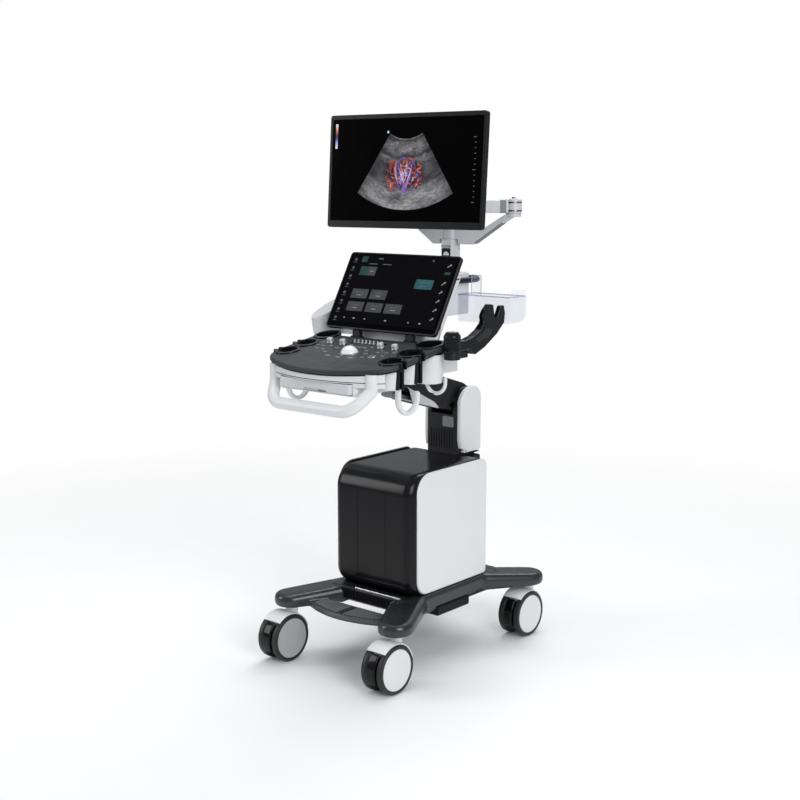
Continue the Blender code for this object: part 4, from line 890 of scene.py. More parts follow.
def cabinet_shell():
    """Black cover: large front radii along its length and softly rounded side edges."""
    outer = rounded_outline(-0.157, 0.165, 0.1875, 0.51, (0.044, 0.004, 0.01, 0.056), 14)
    sections = []
    half = 0.133
    edge = 0.026
    stations = []
    for k in range(9):
        angle = math.pi / 2 * k / 8
        stations.append((half - edge * (1.0 - math.sin(angle)), edge * (1.0 - math.cos(angle))))
    rows = [(-x, d) for x, d in reversed(stations)] + stations
    rows.sort()
    for x, d in rows:
        ring = inset(outer, d) if d > 0.0 else outer
        ring = [(min(0.165, y + (d if y > 0.1 else 0.0)), z) for y, z in ring]
        sections.append([(x, y, z) for y, z in ring])
    shape = loft(sections)
    inner = rounded_outline(-0.152, 0.185, 0.192, 0.5055, (0.044, 0.0, 0.0, 0.052), 8)
    cavity = prism(inner, "X", -0.127, 0.127)
    grooves = []
    for x in (-0.048, 0.048):
        grooves.append(box((x - 0.0006, -0.3, 0.232), (x + 0.0006, -0.156, 0.452)))
    for z in (0.232, 0.452):
        grooves.append(box((-0.048, -0.3, z - 0.0006), (0.048, -0.156, z + 0.0006)))
    seam = box((-0.3, 0.124, 0.4985), (0.3, 0.1252, 0.6))
    lower = box((-0.2, -0.1575, 0.204), (0.2, -0.148, 0.205))
    return cut(shape, cavity, *grooves, seam, lower)


def cabinet_side(side):
    """White side panel with a rounded rim."""
    outline = rounded_outline(-0.131, 0.166, 0.19, 0.512, (0.04, 0.012, 0.02, 0.052), 14)
    if side > 0:
        return slab(outline, "X", 0.1333, 0.1385, 0.005, 0.0002, 8)
    return slab(outline, "X", -0.1385, -0.1333, 0.0002, 0.005, 8)


def side_gasket(side):
    """Dark recessed line where a side panel meets the shell."""
    outline = rounded_outline(-0.1345, 0.1655, 0.1885, 0.5112, (0.04, 0.012, 0.02, 0.052), 14)
    low, high = span(side, 0.127, 0.1334)
    return slab(outline, "X", low, high, 0.0006)


def rear_cover():
    """Vented back plate with its bulge round the column's spine."""
    plate = block((-0.124, 0.1653, 0.2), (0.124, 0.169, 0.5), 0.006, 0.0008, "Y")
    slots = []
    for side in (-1, 1):
        for i in range(13):
            z = 0.226 + 0.0135 * i
            centre = side * 0.0885
            low = (centre - 0.0255, 0.1, z)
            slots.append(block(low, (centre + 0.0255, 0.3, z + 0.0052), 0.0024, 0.0, "Y", 4))
    plate = cut(plate, *slots)
    outline = rounded_outline(-0.062, 0.062, 0.166, 0.245, (0.0, 0.0, 0.014, 0.014), 6)
    bulge = slab(outline, "Z", 0.2, 0.5, 0.003)
    hollow = box((-0.056, 0.1, 0.15), (0.056, 0.241, 0.55))
    return cut(union(plate, bulge), hollow)


def add_cabinet():
    piece("cabinet_cover", cabinet_shell(), "cabinet_black", "cart", "cabinet_shell", angle=30)
    for side, name in SIDES:
        piece("side_panel_" + name, cabinet_side(side), "side_white", "cart",
              "cabinet_side_" + name)
        piece("side_gasket_" + name, side_gasket(side), "black_satin", "cart")
    piece("back_cover", rear_cover(), "black_satin", "cart", "cabinet_rear_cover",
          bevel=0.0004)
    for i, x in enumerate((-0.04, -0.014, 0.014, 0.04)):
        socket = block((x - 0.009, 0.2435, 0.232), (x + 0.009, 0.2464, 0.246), 0.002, 0.0008, "Y")
        piece("socket_%d" % (i + 1), socket, "dark_metal", "cart")
    plate = block((-0.05, 0.244, 0.223), (0.05, 0.2455, 0.256), 0.004, 0.0005, "Y")
    piece("socket_plate", plate, "mid_grey", "cart")
    for side in (-1, 1):
        for z in (0.212, 0.488):
            screw = turned([(0.0, 0.1688), (0.004, 0.1688), (0.0036, 0.1712), (0.0, 0.1714)],
                           (side * 0.114, 0.0, z), "Y", 20)
            name = "cover_screw_%s_%s" % ("right" if side > 0 else "left", "low" if z < 0.3 else "high")
            piece(name, screw, "dark_metal", "cart")


# ---------------------------------------------------------------- column and lift

def column_core():
    """Column with its foot, the arm's cheeks and the spine behind the cabinet."""
    low = 0.5103
    cheek = [(0.141, low), (0.235, low), (0.235, 0.66)]
    cheek += arc((0.203, 0.664), 0.032, 0, 90, 12)
    cheek += arc((0.18, 0.666), 0.03, 90, 150, 10) + [(0.141, 0.6275)]
    shape = slab(cheek, "X", -0.0505, 0.0505, 0.0022, steps=3)
    spine = slab(rounded_outline(-0.045, 0.045, 0.171, 0.235, 0.006), "Z", 0.1873, 0.53, 0.0)
    foot_rows = []
    for k in range(7):
        t = k / 6
        grow = 0.011 * (1.0 - t) ** 2.2
        outline = rounded_outline(-0.0505 - grow, 0.0505 + grow, 0.1425 - grow, 0.229 + grow, 0.01, 6)
        foot_rows.append([(x, y, low + 0.004 * t) for x, y in outline])
    shape = union(shape, spine, loft(foot_rows))
    pocket = box((-0.0375, 0.152, 0.612), (0.0375, 0.2265, 0.75))
    mouth = slab(rounded_outline(-0.0375, 0.0375, 0.1, 0.2, 0.0), "Z", 0.6225, 0.75, 0.0)
    pins = []
    for centre, radius in ((ARM_REAR, 0.0072), (ARM_REAR + LINK_OFFSET, 0.006)):
        pins.append(cylinder(centre, radius, -0.0465, 0.0465, "X", 24))
    ribs = []
    for i in range(9):
        x = -0.036 + 0.009 * i
        ribs.append(box((x - 0.0013, 0.12, 0.526), (x + 0.0013, 0.1425, 0.58)))
    return cut(shape, pocket, mouth, *pins, *ribs)


def column_cover(side):
    """White side cover with a round top and a bowed front edge."""
    front = 0.1475
    rear = 0.238
    low = 0.5148
    outline = fillet([(front + 0.01, low), (rear, low), (rear, 0.6)], [0.004, 0.01, 0.0], 6)[:-1]
    outline += [(rear, 0.662)]
    outline += arc((0.205, 0.665), 0.033, 0, 90, 14)
    outline += arc((0.198, 0.643), 0.055, 95, 165, 14)
    outline += [(front - 0.0022, 0.62), (front - 0.003, 0.59), (front - 0.003, 0.555), (front + 0.0005, 0.53)]
    low_x, high_x = span(side, 0.0508, 0.064)
    return slab(outline, "X", low_x, high_x,
                0.0055 if side > 0 else 0.0005, 0.0005 if side > 0 else 0.0055, 7)


def arm_frame():
    """From the arm's frame (along, up; rear pivot at the origin) to the machine."""
    along = (ARM_FRONT - ARM_REAR).normalized()
    up = Vector((0.0, -along.z, along.y)) * -1.0
    return Matrix((
        (1.0, along.x, up.x, ARM_REAR.x),
        (0.0, along.y, up.y, ARM_REAR.y),
        (0.0, along.z, up.z, ARM_REAR.z),
        (0.0, 0.0, 0.0, 1.0),
    ))


def lift_arm():
    """Upper lift arm: pivot stubs at the rear, a fork at the front."""
    outline = arc((0.0, 0.004), 0.033, 250, 100, 20)
    outline += fillet([(0.004, 0.0385), (0.12, 0.04), (0.15, 0.026), (0.19, 0.016)], [0, 0.04, 0.06, 0], 8)
    outline += arc((ARM_LENGTH, 0.0), 0.016, 90, -90, 16)
    outline += fillet([(ARM_LENGTH - 0.03, -0.02), (ARM_LENGTH - 0.046, -0.046), (0.056, -0.046),
                       (0.041, -0.0235), (0.02, -0.0235)], [0.0, 0.006, 0.006, 0.004, 0.0], 5)
    shape = slab(outline, "X", -0.036, 0.036, 0.005, steps=5)
    stubs = cylinder((0, 0, 0), 0.0065, -0.046, 0.046, "X", 28)
    shape = union(shape, stubs)
    slot = box((-0.0168, ARM_LENGTH - 0.036, -0.03), (0.0168, ARM_LENGTH + 0.03, 0.05))
    channel = box((-0.0288, 0.03, -0.06), (0.0288, ARM_LENGTH - 0.02, -0.023))
    holes = cylinder((0, ARM_LENGTH, 0), 0.0068, -0.0285, 0.0285, "X", 28)
    seams = []
    for side in (-1, 1):
        low, high = span(side, 0.0354, 0.05)
        seams.append(box((low, 0.06, -0.0275), (high, ARM_LENGTH - 0.044, -0.0265)))
    shape = cut(shape, slot, channel, holes, *seams)
    return moved(shape, arm_frame())


def lift_link():
    """Lower parallel link under the arm."""
    outline = arc((0.0, 0.0), 0.0085, 270, 90, 14) + [(0.012, 0.0055), (ARM_LENGTH - 0.012, 0.0055)]
    outline += arc((ARM_LENGTH, 0.0), 0.0085, 90, -90, 14) + [(ARM_LENGTH - 0.012, -0.0055), (0.012, -0.0055)]
    shape = slab(outline, "X", -0.0245, 0.0245, 0.0015, steps=2)
    stubs = cylinder((0, 0, 0), 0.0052, -0.046, 0.046, "X", 24)
    shape = union(shape, stubs)
    slot = box((-0.0168, ARM_LENGTH - 0.03, -0.03), (0.0168, ARM_LENGTH + 0.03, 0.05))
    holes = cylinder((0, ARM_LENGTH, 0), 0.0064, -0.0285, 0.0285, "X", 24)
    shape = cut(shape, slot, holes)
    return moved(shape, Matrix.Translation(LINK_OFFSET) @ arm_frame())


def console_carrier():
    """Head that both arms hold level, with the swivel plate and spigot."""
    front = ARM_FRONT
    lower = ARM_FRONT + LINK_OFFSET
    hull = arc((lower.y, lower.z), 0.01, 150, 330, 14)
    hull += [(front.y + 0.014, front.z - 0.006), (front.y + 0.014, 0.7575), (front.y - 0.03, 0.7575)]
    shape = slab(hull, "X", -0.016, 0.016, 0.0015, steps=2)
    plate = disc(front, 0.046, 0.7567, 0.7646, sides=64, steps=2)
    spigot = upright(front, 0.018, 0.76, 0.788, 32)
    upper_pin = cylinder(front, 0.006, -0.028, 0.028, "X", 24)
    lower_pin = cylinder(lower, 0.005, -0.0235, 0.0235, "X", 24)
    return union(shape, plate, spigot, upper_pin, lower_pin)


def add_column():
    piece("column", column_core(), "black_satin", "cart", "column_core", bevel=0.0004)
    for side, name in SIDES:
        piece("column_side_" + name, column_cover(side), "side_white", "cart",
              "column_cover_" + name)
    button = block((0.003, 0.1392, 0.587), (0.041, 0.1425, 0.617), 0.0045, 0.0014, "Y", 5)
    piece("column_button", button, "mid_grey", "cart")
    rim = cut(block((0.0008, 0.1402, 0.5848), (0.0432, 0.1424, 0.6192), 0.006, 0.0006, "Y", 5),
              block((0.0026, 0.13, 0.5866), (0.0414, 0.15, 0.6174), 0.0048, 0.0, "Y", 5))
    piece("column_button_rim", rim, "black_gloss", "cart")
    piece("upper_arm_cover", lift_arm(), "black_satin", "arm", "lift_arm", bevel=0.0004)
    profile = fillet([(0.09, -0.0475), (ARM_LENGTH - 0.044, -0.0475), (ARM_LENGTH - 0.022, -0.018),
                      (ARM_LENGTH - 0.006, -0.012), (ARM_LENGTH - 0.06, -0.02), (0.12, -0.033)],
                     [0.003, 0.01, 0.008, 0.003, 0.03, 0.02], 6)
    for side, name in SIDES:
        ends = span(side, 0.0354, 0.0374)
        skin = moved(slab(profile, "X", *ends, 0.0008, steps=3), arm_frame())
        piece("arm_skirt_" + name, skin, "grey_plastic", "arm")
    piece("parallel_link", lift_link(), "dark_metal", "link", "lift_link")
    piece("arm_head", console_carrier(), "mid_grey", "carrier", "console_carrier")


# ---------------------------------------------------------------- console

TRACKBALL = (0.005, -0.242)
TRACKBALL_RADIUS = 0.0235
FREEZE_BUTTON = (0.092, -0.255)
CONSOLE_EDGE_X = 0.2137


def mirrored(half):
    """Complete an outline from its right half, which runs from the rear to the front on the mid-plane."""
    return half + [(-x, y) for x, y in reversed(half) if x > 0.0]


def bowed_plan(rear, front, inward):
    """Outline from straight rear points and a curve through the right half of the front edge."""
    curve = [(p.x, p.y) for p in curve_through([(x, y, 0) for x, y in front], 6)]
    outline = mirrored(rear + curve[:-1] + [(0.0, curve[-1][1])])
    return inset(outline, inward) if inward else outline


def console_outline(inward=0.0):
    """Plan of the control panel: straight sides, large front corners and a bowed front edge."""
    front = [(0.2137, -0.265), (0.2115, -0.29), (0.203, -0.313), (0.187, -0.3325), (0.165, -0.346),
             (0.135, -0.3595), (0.09, -0.3745), (0.045, -0.3835), (0.0, -0.3862)]
    return bowed_plan([(0.2137, -0.12)], front, inward)


def cup_slot(side, y, low, high, width=SLOT_WIDTH):
    """Cutter for the cable slot on a probe cup's outer side."""
    low_x, high_x = span(side, PROBE_CUP_X, 0.24)
    return box((low_x, y - width / 2, low), (high_x, y + width / 2, high))


def panel_cylinder(x, y, radius, low, high, sides=32):
    """Cylinder square to the panel's surface."""
    return moved(cylinder((0, 0, 0), radius, low, high, "Z", sides), panel_matrix(x, y))


def control_panel():
    """Dark textured panel with its openings for cups, ball, knobs and buttons."""
    shape = sloped(slab(console_outline(), "Z", -PANEL_THICKNESS, 0.0, 0.0032, 0.004, 5))
    tools = []
    for side in (-1, 1):
        for y, radius, _ in PROBE_CUPS:
            tools.append(cylinder((side * PROBE_CUP_X, y, 0.0), radius - 0.0024, 0.75, 0.9, "Z", 56))
            if y in SLOTTED_CUPS:
                tools.append(cup_slot(side, y, 0.75, 0.9))
        low_x, high_x = span(side, PROBE_CUP_X, 0.24)
        tools.append(box((low_x, PROBE_CUPS[2][0], 0.75), (high_x, -0.1, 0.9)))
    tools.append(upright(TRACKBALL, TRACKBALL_RADIUS + 0.0012, 0.75, 0.9, 64))
    for x, y in KNOBS:
        tools.append(panel_cylinder(x, y, 0.004, -0.008, 0.01, 20))
    tools.append(panel_cylinder(*FREEZE_BUTTON, 0.0098, -0.0088, 0.01, 40))
    return cut(shape, *tools)


def fascia_outline(inward=0.0):
    """Plan of the console's white body."""
    front = [(0.184, -0.3135), (0.188, -0.32), (0.18, -0.332), (0.162, -0.343), (0.132, -0.355),
             (0.09, -0.369), (0.045, -0.3775), (0.0, -0.3797)]
    return bowed_plan([(0.138, 0.03), (0.138, -0.3135)], front, inward)


def console_underside():
    """White body below the panel with the drawer's pocket, the swivel bore and the ball's well."""
    knee_y = PANEL_Y + (0.8395 - PANEL_Z + PANEL_THICKNESS + 0.0003) / PANEL_SLOPE
    shape = slab(fascia_outline(), "Z", 0.765, 0.9, 0.0, 0.0015, 3)
    slope = [(-0.5, panel_z(-0.5, PANEL_THICKNESS + 0.0003)), (knee_y, 0.8395), (0.2, 0.8395), (0.2, 1.0),
             (-0.5, 1.0)]
    case = slab(rounded_outline(-0.127, 0.127, -0.36, -0.19, 0.012, 6), "Z", 0.742, 0.79, 0.0, 0.003)
    shape = union(shape, case)
    well = upright(TRACKBALL, BALL_WELL_RADIUS, panel_z(TRACKBALL[1], 0.034), 0.9, 48)
    bore = upright(ARM_FRONT, 0.019, 0.7, 0.79, 32)
    pocket = box((-0.1205, -0.5, 0.7455), (0.1205, -0.196, 0.7745))
    return cut(shape, prism(slope, "X", -0.3, 0.3), well, bore, pocket)


def front_handle():
    """White loop handle under the console's front."""
    foot = Vector((0.162, -0.337, 0.7985))
    stem = Vector((0.162, -0.337, 0.7647))
    knee = Vector((0.162, -0.337, 0.757))
    corner = Vector((0.13, -0.3834, 0.708))
    lean = (knee - corner).normalized()
    start = corner + lean * 0.034
    end = corner - Vector((0.034, 0, 0))
    right = [foot]
    top = knee + lean * -0.008
    for i in range(7):
        t = i / 6.0
        right.append(stem.lerp(knee, t).lerp(knee.lerp(top, t), t))
    right.append(top.lerp(start, 0.5))
    for i in range(13):
        t = i / 12.0
        right.append(start.lerp(corner, t).lerp(corner.lerp(end, t), t))
    path = right + [Vector((-p.x, p.y, p.z)) for p in reversed(right)]
    clean = [path[0]]
    for point in path[1:]:
        if (point - clean[-1]).length > 0.0004:
            clean.append(point)
    return tube(clean, 0.0152, 36, round_ends=False)


def keyboard_drawer():
    """Sliding tray with a finger lip at its front."""
    shape = slab(rounded_outline(-0.119, 0.119, -0.37, -0.201, 0.008, 6), "Z",
                 0.747, 0.7725, 0.0015, 0.003, 4)
    recess = slab(rounded_outline(-0.112, 0.112, -0.358, -0.212, 0.004, 4), "Z", 0.766, 0.79, 0.0, 0.002, 2)
    scoop = slab(fillet([(-0.04, 0.74), (0.04, 0.74), (0.034, 0.753), (-0.034, 0.753)], 0.004, 4), "Y",
                 -0.4, -0.364, 0.0)
    return cut(shape, recess, scoop)


def drawer_keys():
    """Rows of keycaps in the tray."""
    caps = []
    for row in range(5):
        y = -0.224 - 0.0245 * row
        count = 13 if row < 4 else 7
        pitch = 0.206 / count
        for i in range(count):
            x = -0.103 + pitch * (i + 0.5)
            half = pitch / 2 - 0.0012
            caps.append(slab(rounded_outline(x - half, x + half, y - 0.0105, y + 0.0105, 0.0018, 2), "Z",
                             0.766, 0.7702, 0.0008, 0.0, 2))
    return joined(*caps)


def probe_holder(side):
    """White rail of three tapered probe cups; the right one also carries a cable loop."""
    parts = []
    bores = []
    for y, radius, bottom in PROBE_CUPS:
        top = panel_z(y - radius, PANEL_THICKNESS + 0.0031)
        centre = (side * PROBE_CUP_X, y, 0.0)
        profile = [(0.0, bottom), (radius - 0.0075, bottom), (radius - 0.0045, bottom + 0.0012),
                   (radius - 0.003, bottom + 0.0045), (radius - 0.0012, bottom + 0.03), (radius, top),
                   (0.0, top)]
        parts.append(turned(profile, centre, "Z", 64))
        bores.append(cylinder(centre, radius - 0.003, bottom + 0.012, 0.9, "Z", 56))
        bores.append(cylinder(centre, 0.0105, 0.7, 0.9, "Z", 32))
        if y in SLOTTED_CUPS:
            bores.append(cup_slot(side, y, 0.7, 0.9))
    low_x, high_x = span(side, 0.1383, 0.158)
    rail = slab(rounded_outline(low_x, high_x, -0.305, -0.105, 0.004, 3), "Z", 0.7685, 0.79, 0.002)
    if side > 0:
        parts.append(cable_loop())
    shape = union(rail, *parts)
    return cut(shape, *bores)


def cable_loop():
    """Cable guide under the rear cup, open at its outer end."""
    y = PROBE_CUPS[2][0] + 0.008
    root_x = PROBE_CUP_X - 0.018
    bend = 0.0298
    path = [(root_x, y, 0.762)]
    path += [(u, y, v) for u, v in arc((root_x + bend, 0.76), bend, 180, 360, 28)]
    path.append((root_x + 2 * bend, y, 0.7695))
    return tube(path, 0.0048, 20)


def probe_liner(side):
    """Glossy black liner of the cups with a rolled rim that stands a little proud of the panel."""
    low_x, high_x = span(side, PROBE_CUP_X - 0.026, PROBE_CUP_X + 0.024)
    strip = slab(rounded_outline(low_x, high_x, -0.303, -0.104, 0.012, 5), "Z", -PANEL_THICKNESS - 0.0024,
                 -PANEL_THICKNESS - 0.0003, 0.0)
    shape = sloped(strip)
    parts = []
    bores = []
    for y, radius, bottom in PROBE_CUPS:
        centre = (side * PROBE_CUP_X, y, 0.0)
        outer = radius - 0.0034
        ring = arc((centre[0], y), outer, 0, 360, 56)[:-1]
        low_ring = [(u, v, bottom + 0.0126) for u, v in ring]
        parts.append(loft([low_ring, [(u, v, panel_z(v, -0.0008)) for u, v in ring]]))
        bores.append(cylinder(centre, outer - 0.0016, 0.7, 0.9, "Z", 56))
        if y in SLOTTED_CUPS:
            bores.append(cup_slot(side, y, 0.7, 0.9, 0.01))
    shape = union(shape, *parts)
    return cut(shape, *bores)


def cup_collar(side, y, radius):
    """Raised glossy collar round a cup's mouth, with two lips that wrap over the panel's edge."""
    centre = (side * PROBE_CUP_X, y)
    low, high = -PANEL_THICKNESS - 0.0035, 0.0042
    ring = slab(arc(centre, radius + 0.003, 0, 360, 72)[:-1], "Z", low, high, 0.0016, 0.0008, 3)
    if y not in SLOTTED_CUPS:
        return sloped(cut(ring, cylinder((*centre, 0.0), radius - 0.0046, low - 0.01, high + 0.01, "Z", 64)))
    ends = sorted((centre[0], side * (CONSOLE_EDGE_X + 0.0016)))
    lips = slab(rounded_outline(*ends, y - 0.0135, y + 0.0135, 0.003, 4), "Z", low, high, 0.0016, 0.0008, 3)
    bore = cylinder((*centre, 0.0), radius - 0.0046, low - 0.01, high + 0.01, "Z", 64)
    slot_ends = sorted((centre[0], side * 0.24))
    slot = box((slot_ends[0], y - 0.0062, low - 0.01), (slot_ends[1], y + 0.0062, high + 0.01))
    return sloped(cut(union(ring, lips), bore, slot))


def slot_trim(side, y, radius, bottom):
    """Glossy black edge trim that runs down a cup's cable slot and across the panel's edge."""
    shapes = []
    for edge in (-1, 1):
        low, high = sorted((y + edge * 0.0128, y + edge * 0.0048))
        middle = y + edge * 0.0088
        outer = math.sqrt(radius ** 2 - (middle - y) ** 2) + 0.0016
        ends = span(side, PROBE_CUP_X + outer - 0.0075, PROBE_CUP_X + outer)
        shapes.append(block((ends[0], low, bottom + 0.002), (ends[1], high, panel_z(low, 0.006)),
                            0.0012, 0.001, "Z", 3))
    ends = span(side, PROBE_CUP_X + radius - 0.006, PROBE_CUP_X + radius - 0.004)
    shapes.append(box((ends[0], y - 0.005, bottom + 0.003), (ends[1], y + 0.005, panel_z(y, 0.02))))
    return joined(*shapes)


def cable_hook(side):
    """White J hook under the front cups."""
    x = side * 0.186
    bend = 0.036
    path = [(x, -0.268, 0.7567), (x, -0.268, 0.744)]
    path += [(x, u, v) for u, v in arc((-0.268 + bend, 0.73), bend, 180, 360, 30)]
    path.append((x, -0.268 + 2 * bend, 0.7395))
    shape = tube(path, 0.0056, 28)
    widen = Matrix.Translation((x, 0, 0)) @ Matrix.Scale(1.55, 4, (1, 0, 0)) @ Matrix.Translation((-x, 0, 0))
    return moved(shape, widen)


def trackball():
    """Smooth ball."""
    shape = bmesh.new()
    bmesh.ops.create_uvsphere(shape, u_segments=64, v_segments=40, radius=TRACKBALL_RADIUS)
    return moved(shape, Matrix.Translation((*TRACKBALL, panel_z(TRACKBALL[1], 0.006))))


def trackball_ring():
    """Bezel round the ball."""
    profile = rounded_profile([(0.0246, -0.002), (0.03, -0.002), (0.029, 0.0014), (0.0255, 0.002),
                               (0.0246, 0.0012)], 0.0005, 2)
    return moved(turned(profile, sides=72), panel_matrix(*TRACKBALL))


def knob(x, y):
    """Dark cap of a turning knob, ribbed round its grip."""
    steps = 72
    sections = []
    for z, radius, depth in ((0.0008, 0.0098, 0.0), (0.004, 0.0097, 0.0), (0.0046, 0.0094, 0.0003),
                             (0.011, 0.0091, 0.0003), (0.0122, 0.0088, 0.0), (0.0137, 0.008, 0.0),
                             (0.0142, 0.007, 0.0), (0.0136, 0.006, 0.0), (0.0134, 0.002, 0.0)):
        ring = []
        for i in range(steps):
            r = radius - (depth if i % 2 else 0.0)
            ring.append((r * math.cos(2 * math.pi * i / steps), r * math.sin(2 * math.pi * i / steps), z))
        sections.append(ring)
    spindle = cylinder((0, 0, 0), 0.0032, -0.0072, 0.001, "Z", 20)
    return moved(joined(loft(sections), spindle), panel_matrix(x, y))


def knob_ring(x, y):
    """Polished skirt of a knob."""
    profile = rounded_profile([(0.007, 0.0003), (0.0104, 0.0003), (0.0102, 0.0036), (0.0096, 0.0044),
                               (0.007, 0.0044)], 0.0005, 2)
    return moved(turned(profile, sides=48), panel_matrix(x, y))


def push_button(radius, low, high, dish=0.0003):
    """Round key with a dished top."""
    return turned([(0.0, low), (radius, low), (radius, high - 0.0008), (radius - 0.0003, high - 0.0002),
                   (radius - 0.001, high), (radius - 0.0024, high - 0.0001), (0.0, high - dish)], sides=40)


def oblong_key(x, y, width, depth, height=0.0022, radius=0.0022):
    """Key with round corners standing on the panel."""
    shape = slab(rounded_outline(-width / 2, width / 2, -depth / 2, depth / 2, radius, 5), "Z",
                 -0.002, height, 0.0008, 0.0, 3)
    return moved(shape, panel_matrix(x, y))


SILVER_KEYS = (
    (-0.131, -0.213, 0.011, 0.007), (-0.109, -0.2175, 0.011, 0.007), (-0.087, -0.211, 0.011, 0.007),
    (-0.063, -0.259, 0.013, 0.008), (-0.055, -0.223, 0.013, 0.008), (0.042, -0.22, 0.013, 0.008),
    (0.059, -0.242, 0.013, 0.008), (0.084, -0.225, 0.011, 0.007), (0.108, -0.22, 0.011, 0.007),
    (0.129, -0.215, 0.011, 0.007), (0.118, -0.248, 0.011, 0.007),
)
DARK_KEYS = (
    (-0.112, -0.238, 0.01, 0.007), (-0.09, -0.238, 0.01, 0.007), (-0.133, -0.188, 0.01, 0.007),
    (-0.018, -0.199, 0.012, 0.007), (0.0, -0.199, 0.012, 0.007), (0.018, -0.199, 0.012, 0.007),
    (0.036, -0.19, 0.01, 0.007), (-0.036, -0.19, 0.01, 0.007), (0.07, -0.268, 0.012, 0.007),
    (-0.033, -0.282, 0.016, 0.008), (0.043, -0.282, 0.016, 0.008), (0.005, -0.286, 0.016, 0.008),
)


def toggle(x, y):
    """Small silver paddle of the switch row."""
    blade = slab(fillet([(-0.0022, 0.0), (0.0022, 0.0), (0.0015, 0.009), (-0.0015, 0.009)], 0.0008, 3), "X",
                 -0.002, 0.002, 0.0008, steps=2)
    foot = block((-0.0036, -0.004, -0.001), (0.0036, 0.004, 0.0024), 0.0014, 0.0006)
    lean = Matrix.Rotation(math.radians(-12), 4, "X")
    return moved(joined(moved(blade, lean), foot), panel_matrix(x, y))


def above_rim(lift):
    """Cutter above the bottle holder's slanted rim."""
    corners = [(-0.35, -0.15), (-0.1, -0.15), (-0.1, 0.05), (-0.35, 0.05)]
    rim = [(x, y, 0.914 + lift + 0.29 * (x - GEL_CUP.x) + 0.51 * (y - GEL_CUP.y)) for x, y in corners]
    return loft([rim, [(x, y, 1.15) for x, y in corners]])


def gel_cup():
    """Slant-rimmed bottle holder with a bracket."""
    profile = [(0.0, 0.0), (0.0375, 0.0), (0.0395, 0.0008), (0.0406, 0.003), (0.054, 0.105), (0.0, 0.105)]
    body = turned(profile, GEL_CUP, "Z", 72)
    bracket = block((GEL_CUP.x + 0.03, -0.048, 0.8455), (-0.1203, -0.024, 0.878), 0.003, 0.002, "X")
    shape = union(body, bracket)
    bore = turned([(0.0, 0.004), (0.0362, 0.004), (0.0522, 0.12), (0.0, 0.12)], GEL_CUP, "Z", 72)
    return cut(shape, bore, above_rim(0.0))


def gel_liner():
    """Grey inner sleeve of the bottle holder."""
    body = turned([(0.0, 0.0045), (0.036, 0.0045), (0.052, 0.12), (0.0, 0.12)], GEL_CUP, "Z", 72)
    bore = turned([(0.0, 0.0062), (0.0345, 0.0062), (0.0508, 0.13), (0.0, 0.13)], GEL_CUP, "Z", 72)
    return cut(body, bore, above_rim(-0.003))


def rear_housing():
    """White housing behind the touch screen and its tail."""
    low = DECK_Z
    outline = fillet([(-0.0925, low), (-0.022, low), (-0.018, 0.852), (0.07, 1.003), (0.066, 1.0083),
                      (0.0, 1.0083), (-0.0045, 1.0)], [0.002, 0.004, 0.006, 0.004, 0.004, 0.004, 0.004], 5)
    shape = slab(outline, "X", -0.12, 0.12, 0.008, steps=6)
    plan = [(-0.036, 0.01), (0.036, 0.01)] + arc((0.0, 0.199), 0.036, 0, 180, 40)
    tail = slab(plan, "Z", 0.895, 1.008, 0.004, 0.006, 5)
    shape = union(shape, tail)
    seam = cut(prism(inset(plan, -0.004), "Z", 0.9475, 0.9487), prism(inset(plan, 0.0009), "Z", 0.94, 0.96))
    front_guard = box((-0.2, -0.2, 0.9), (0.2, 0.06, 1.0))
    return cut(shape, cut(seam, front_guard))


def rear_handle():
    """Black grab bar behind the monitor post."""
    x, y, z = 0.055, 0.205, 0.99
    path = [(x, 0.045, z), (x, 0.125, z), (x, y, z)]
    path += [(u, v, z) for u, v in arc((0.0, y), x, 0, 180, 40)][1:-1]
    path += [(-x, y, z), (-x, 0.125, z), (-x, 0.045, z)]
    slope = [(-0.044, 0.8067), (0.0968, 1.0483), (-0.3, 1.0483), (-0.3, 0.8067)]
    return cut(tube(path, 0.008, 28, round_ends=False), prism(slope, "X", -0.2, 0.2))


def clear_bin():
    """Clear tray with a raised tab on its front wall and a round lower end."""
    low = (0.0363, 0.16, 0.878)
    high = (0.213, 0.235, 0.953)
    outline = rounded_outline(low[0], high[0], low[2], high[2], (0.006, 0.03, 0.0, 0.0), 12)
    shape = slab(outline, "Y", low[1], high[1], 0.0025, steps=4)
    tab = block((0.082, low[1], 0.9), (0.116, low[1] + 0.005, 1.008), 0.006, 0.0008, "Y")
    lip = block((0.2095, 0.166, 0.93), (0.2129, 0.229, 0.97), 0.008, 0.0008, "X")
    shape = union(shape, tab, lip)
    inside = rounded_outline(low[0] + 0.003, high[0] - 0.003, low[2] + 0.003, 1.1,
                             (0.004, 0.027, 0.0, 0.0), 12)
    return cut(shape, prism(inside, "Y", low[1] + 0.003, high[1] - 0.003))


def bin_edge_shade():
    """Darker, more opaque strips along the clear tray's rim and tab edges: painted shade where the clear
    walls are seen edge-on.
    """
    rim = block((0.0363, 0.16, 0.95), (0.2095, 0.235, 0.9533), 0.003, 0.0008, "Z", 3)
    hole = box((0.0385, 0.1622, 0.94), (0.207, 0.2328, 0.96))
    ends = [block((0.082, 0.1597, 0.953), (0.084, 0.162, 1.005), 0.0008, 0.0004, "Z", 2),
            block((0.114, 0.1597, 0.953), (0.116, 0.162, 1.005), 0.0008, 0.0004, "Z", 2),
            block((0.0836, 0.1597, 1.005), (0.1144, 0.162, 1.0075), 0.0008, 0.0004, "Z", 2)]
    return joined(cut(rim, hole), *ends)


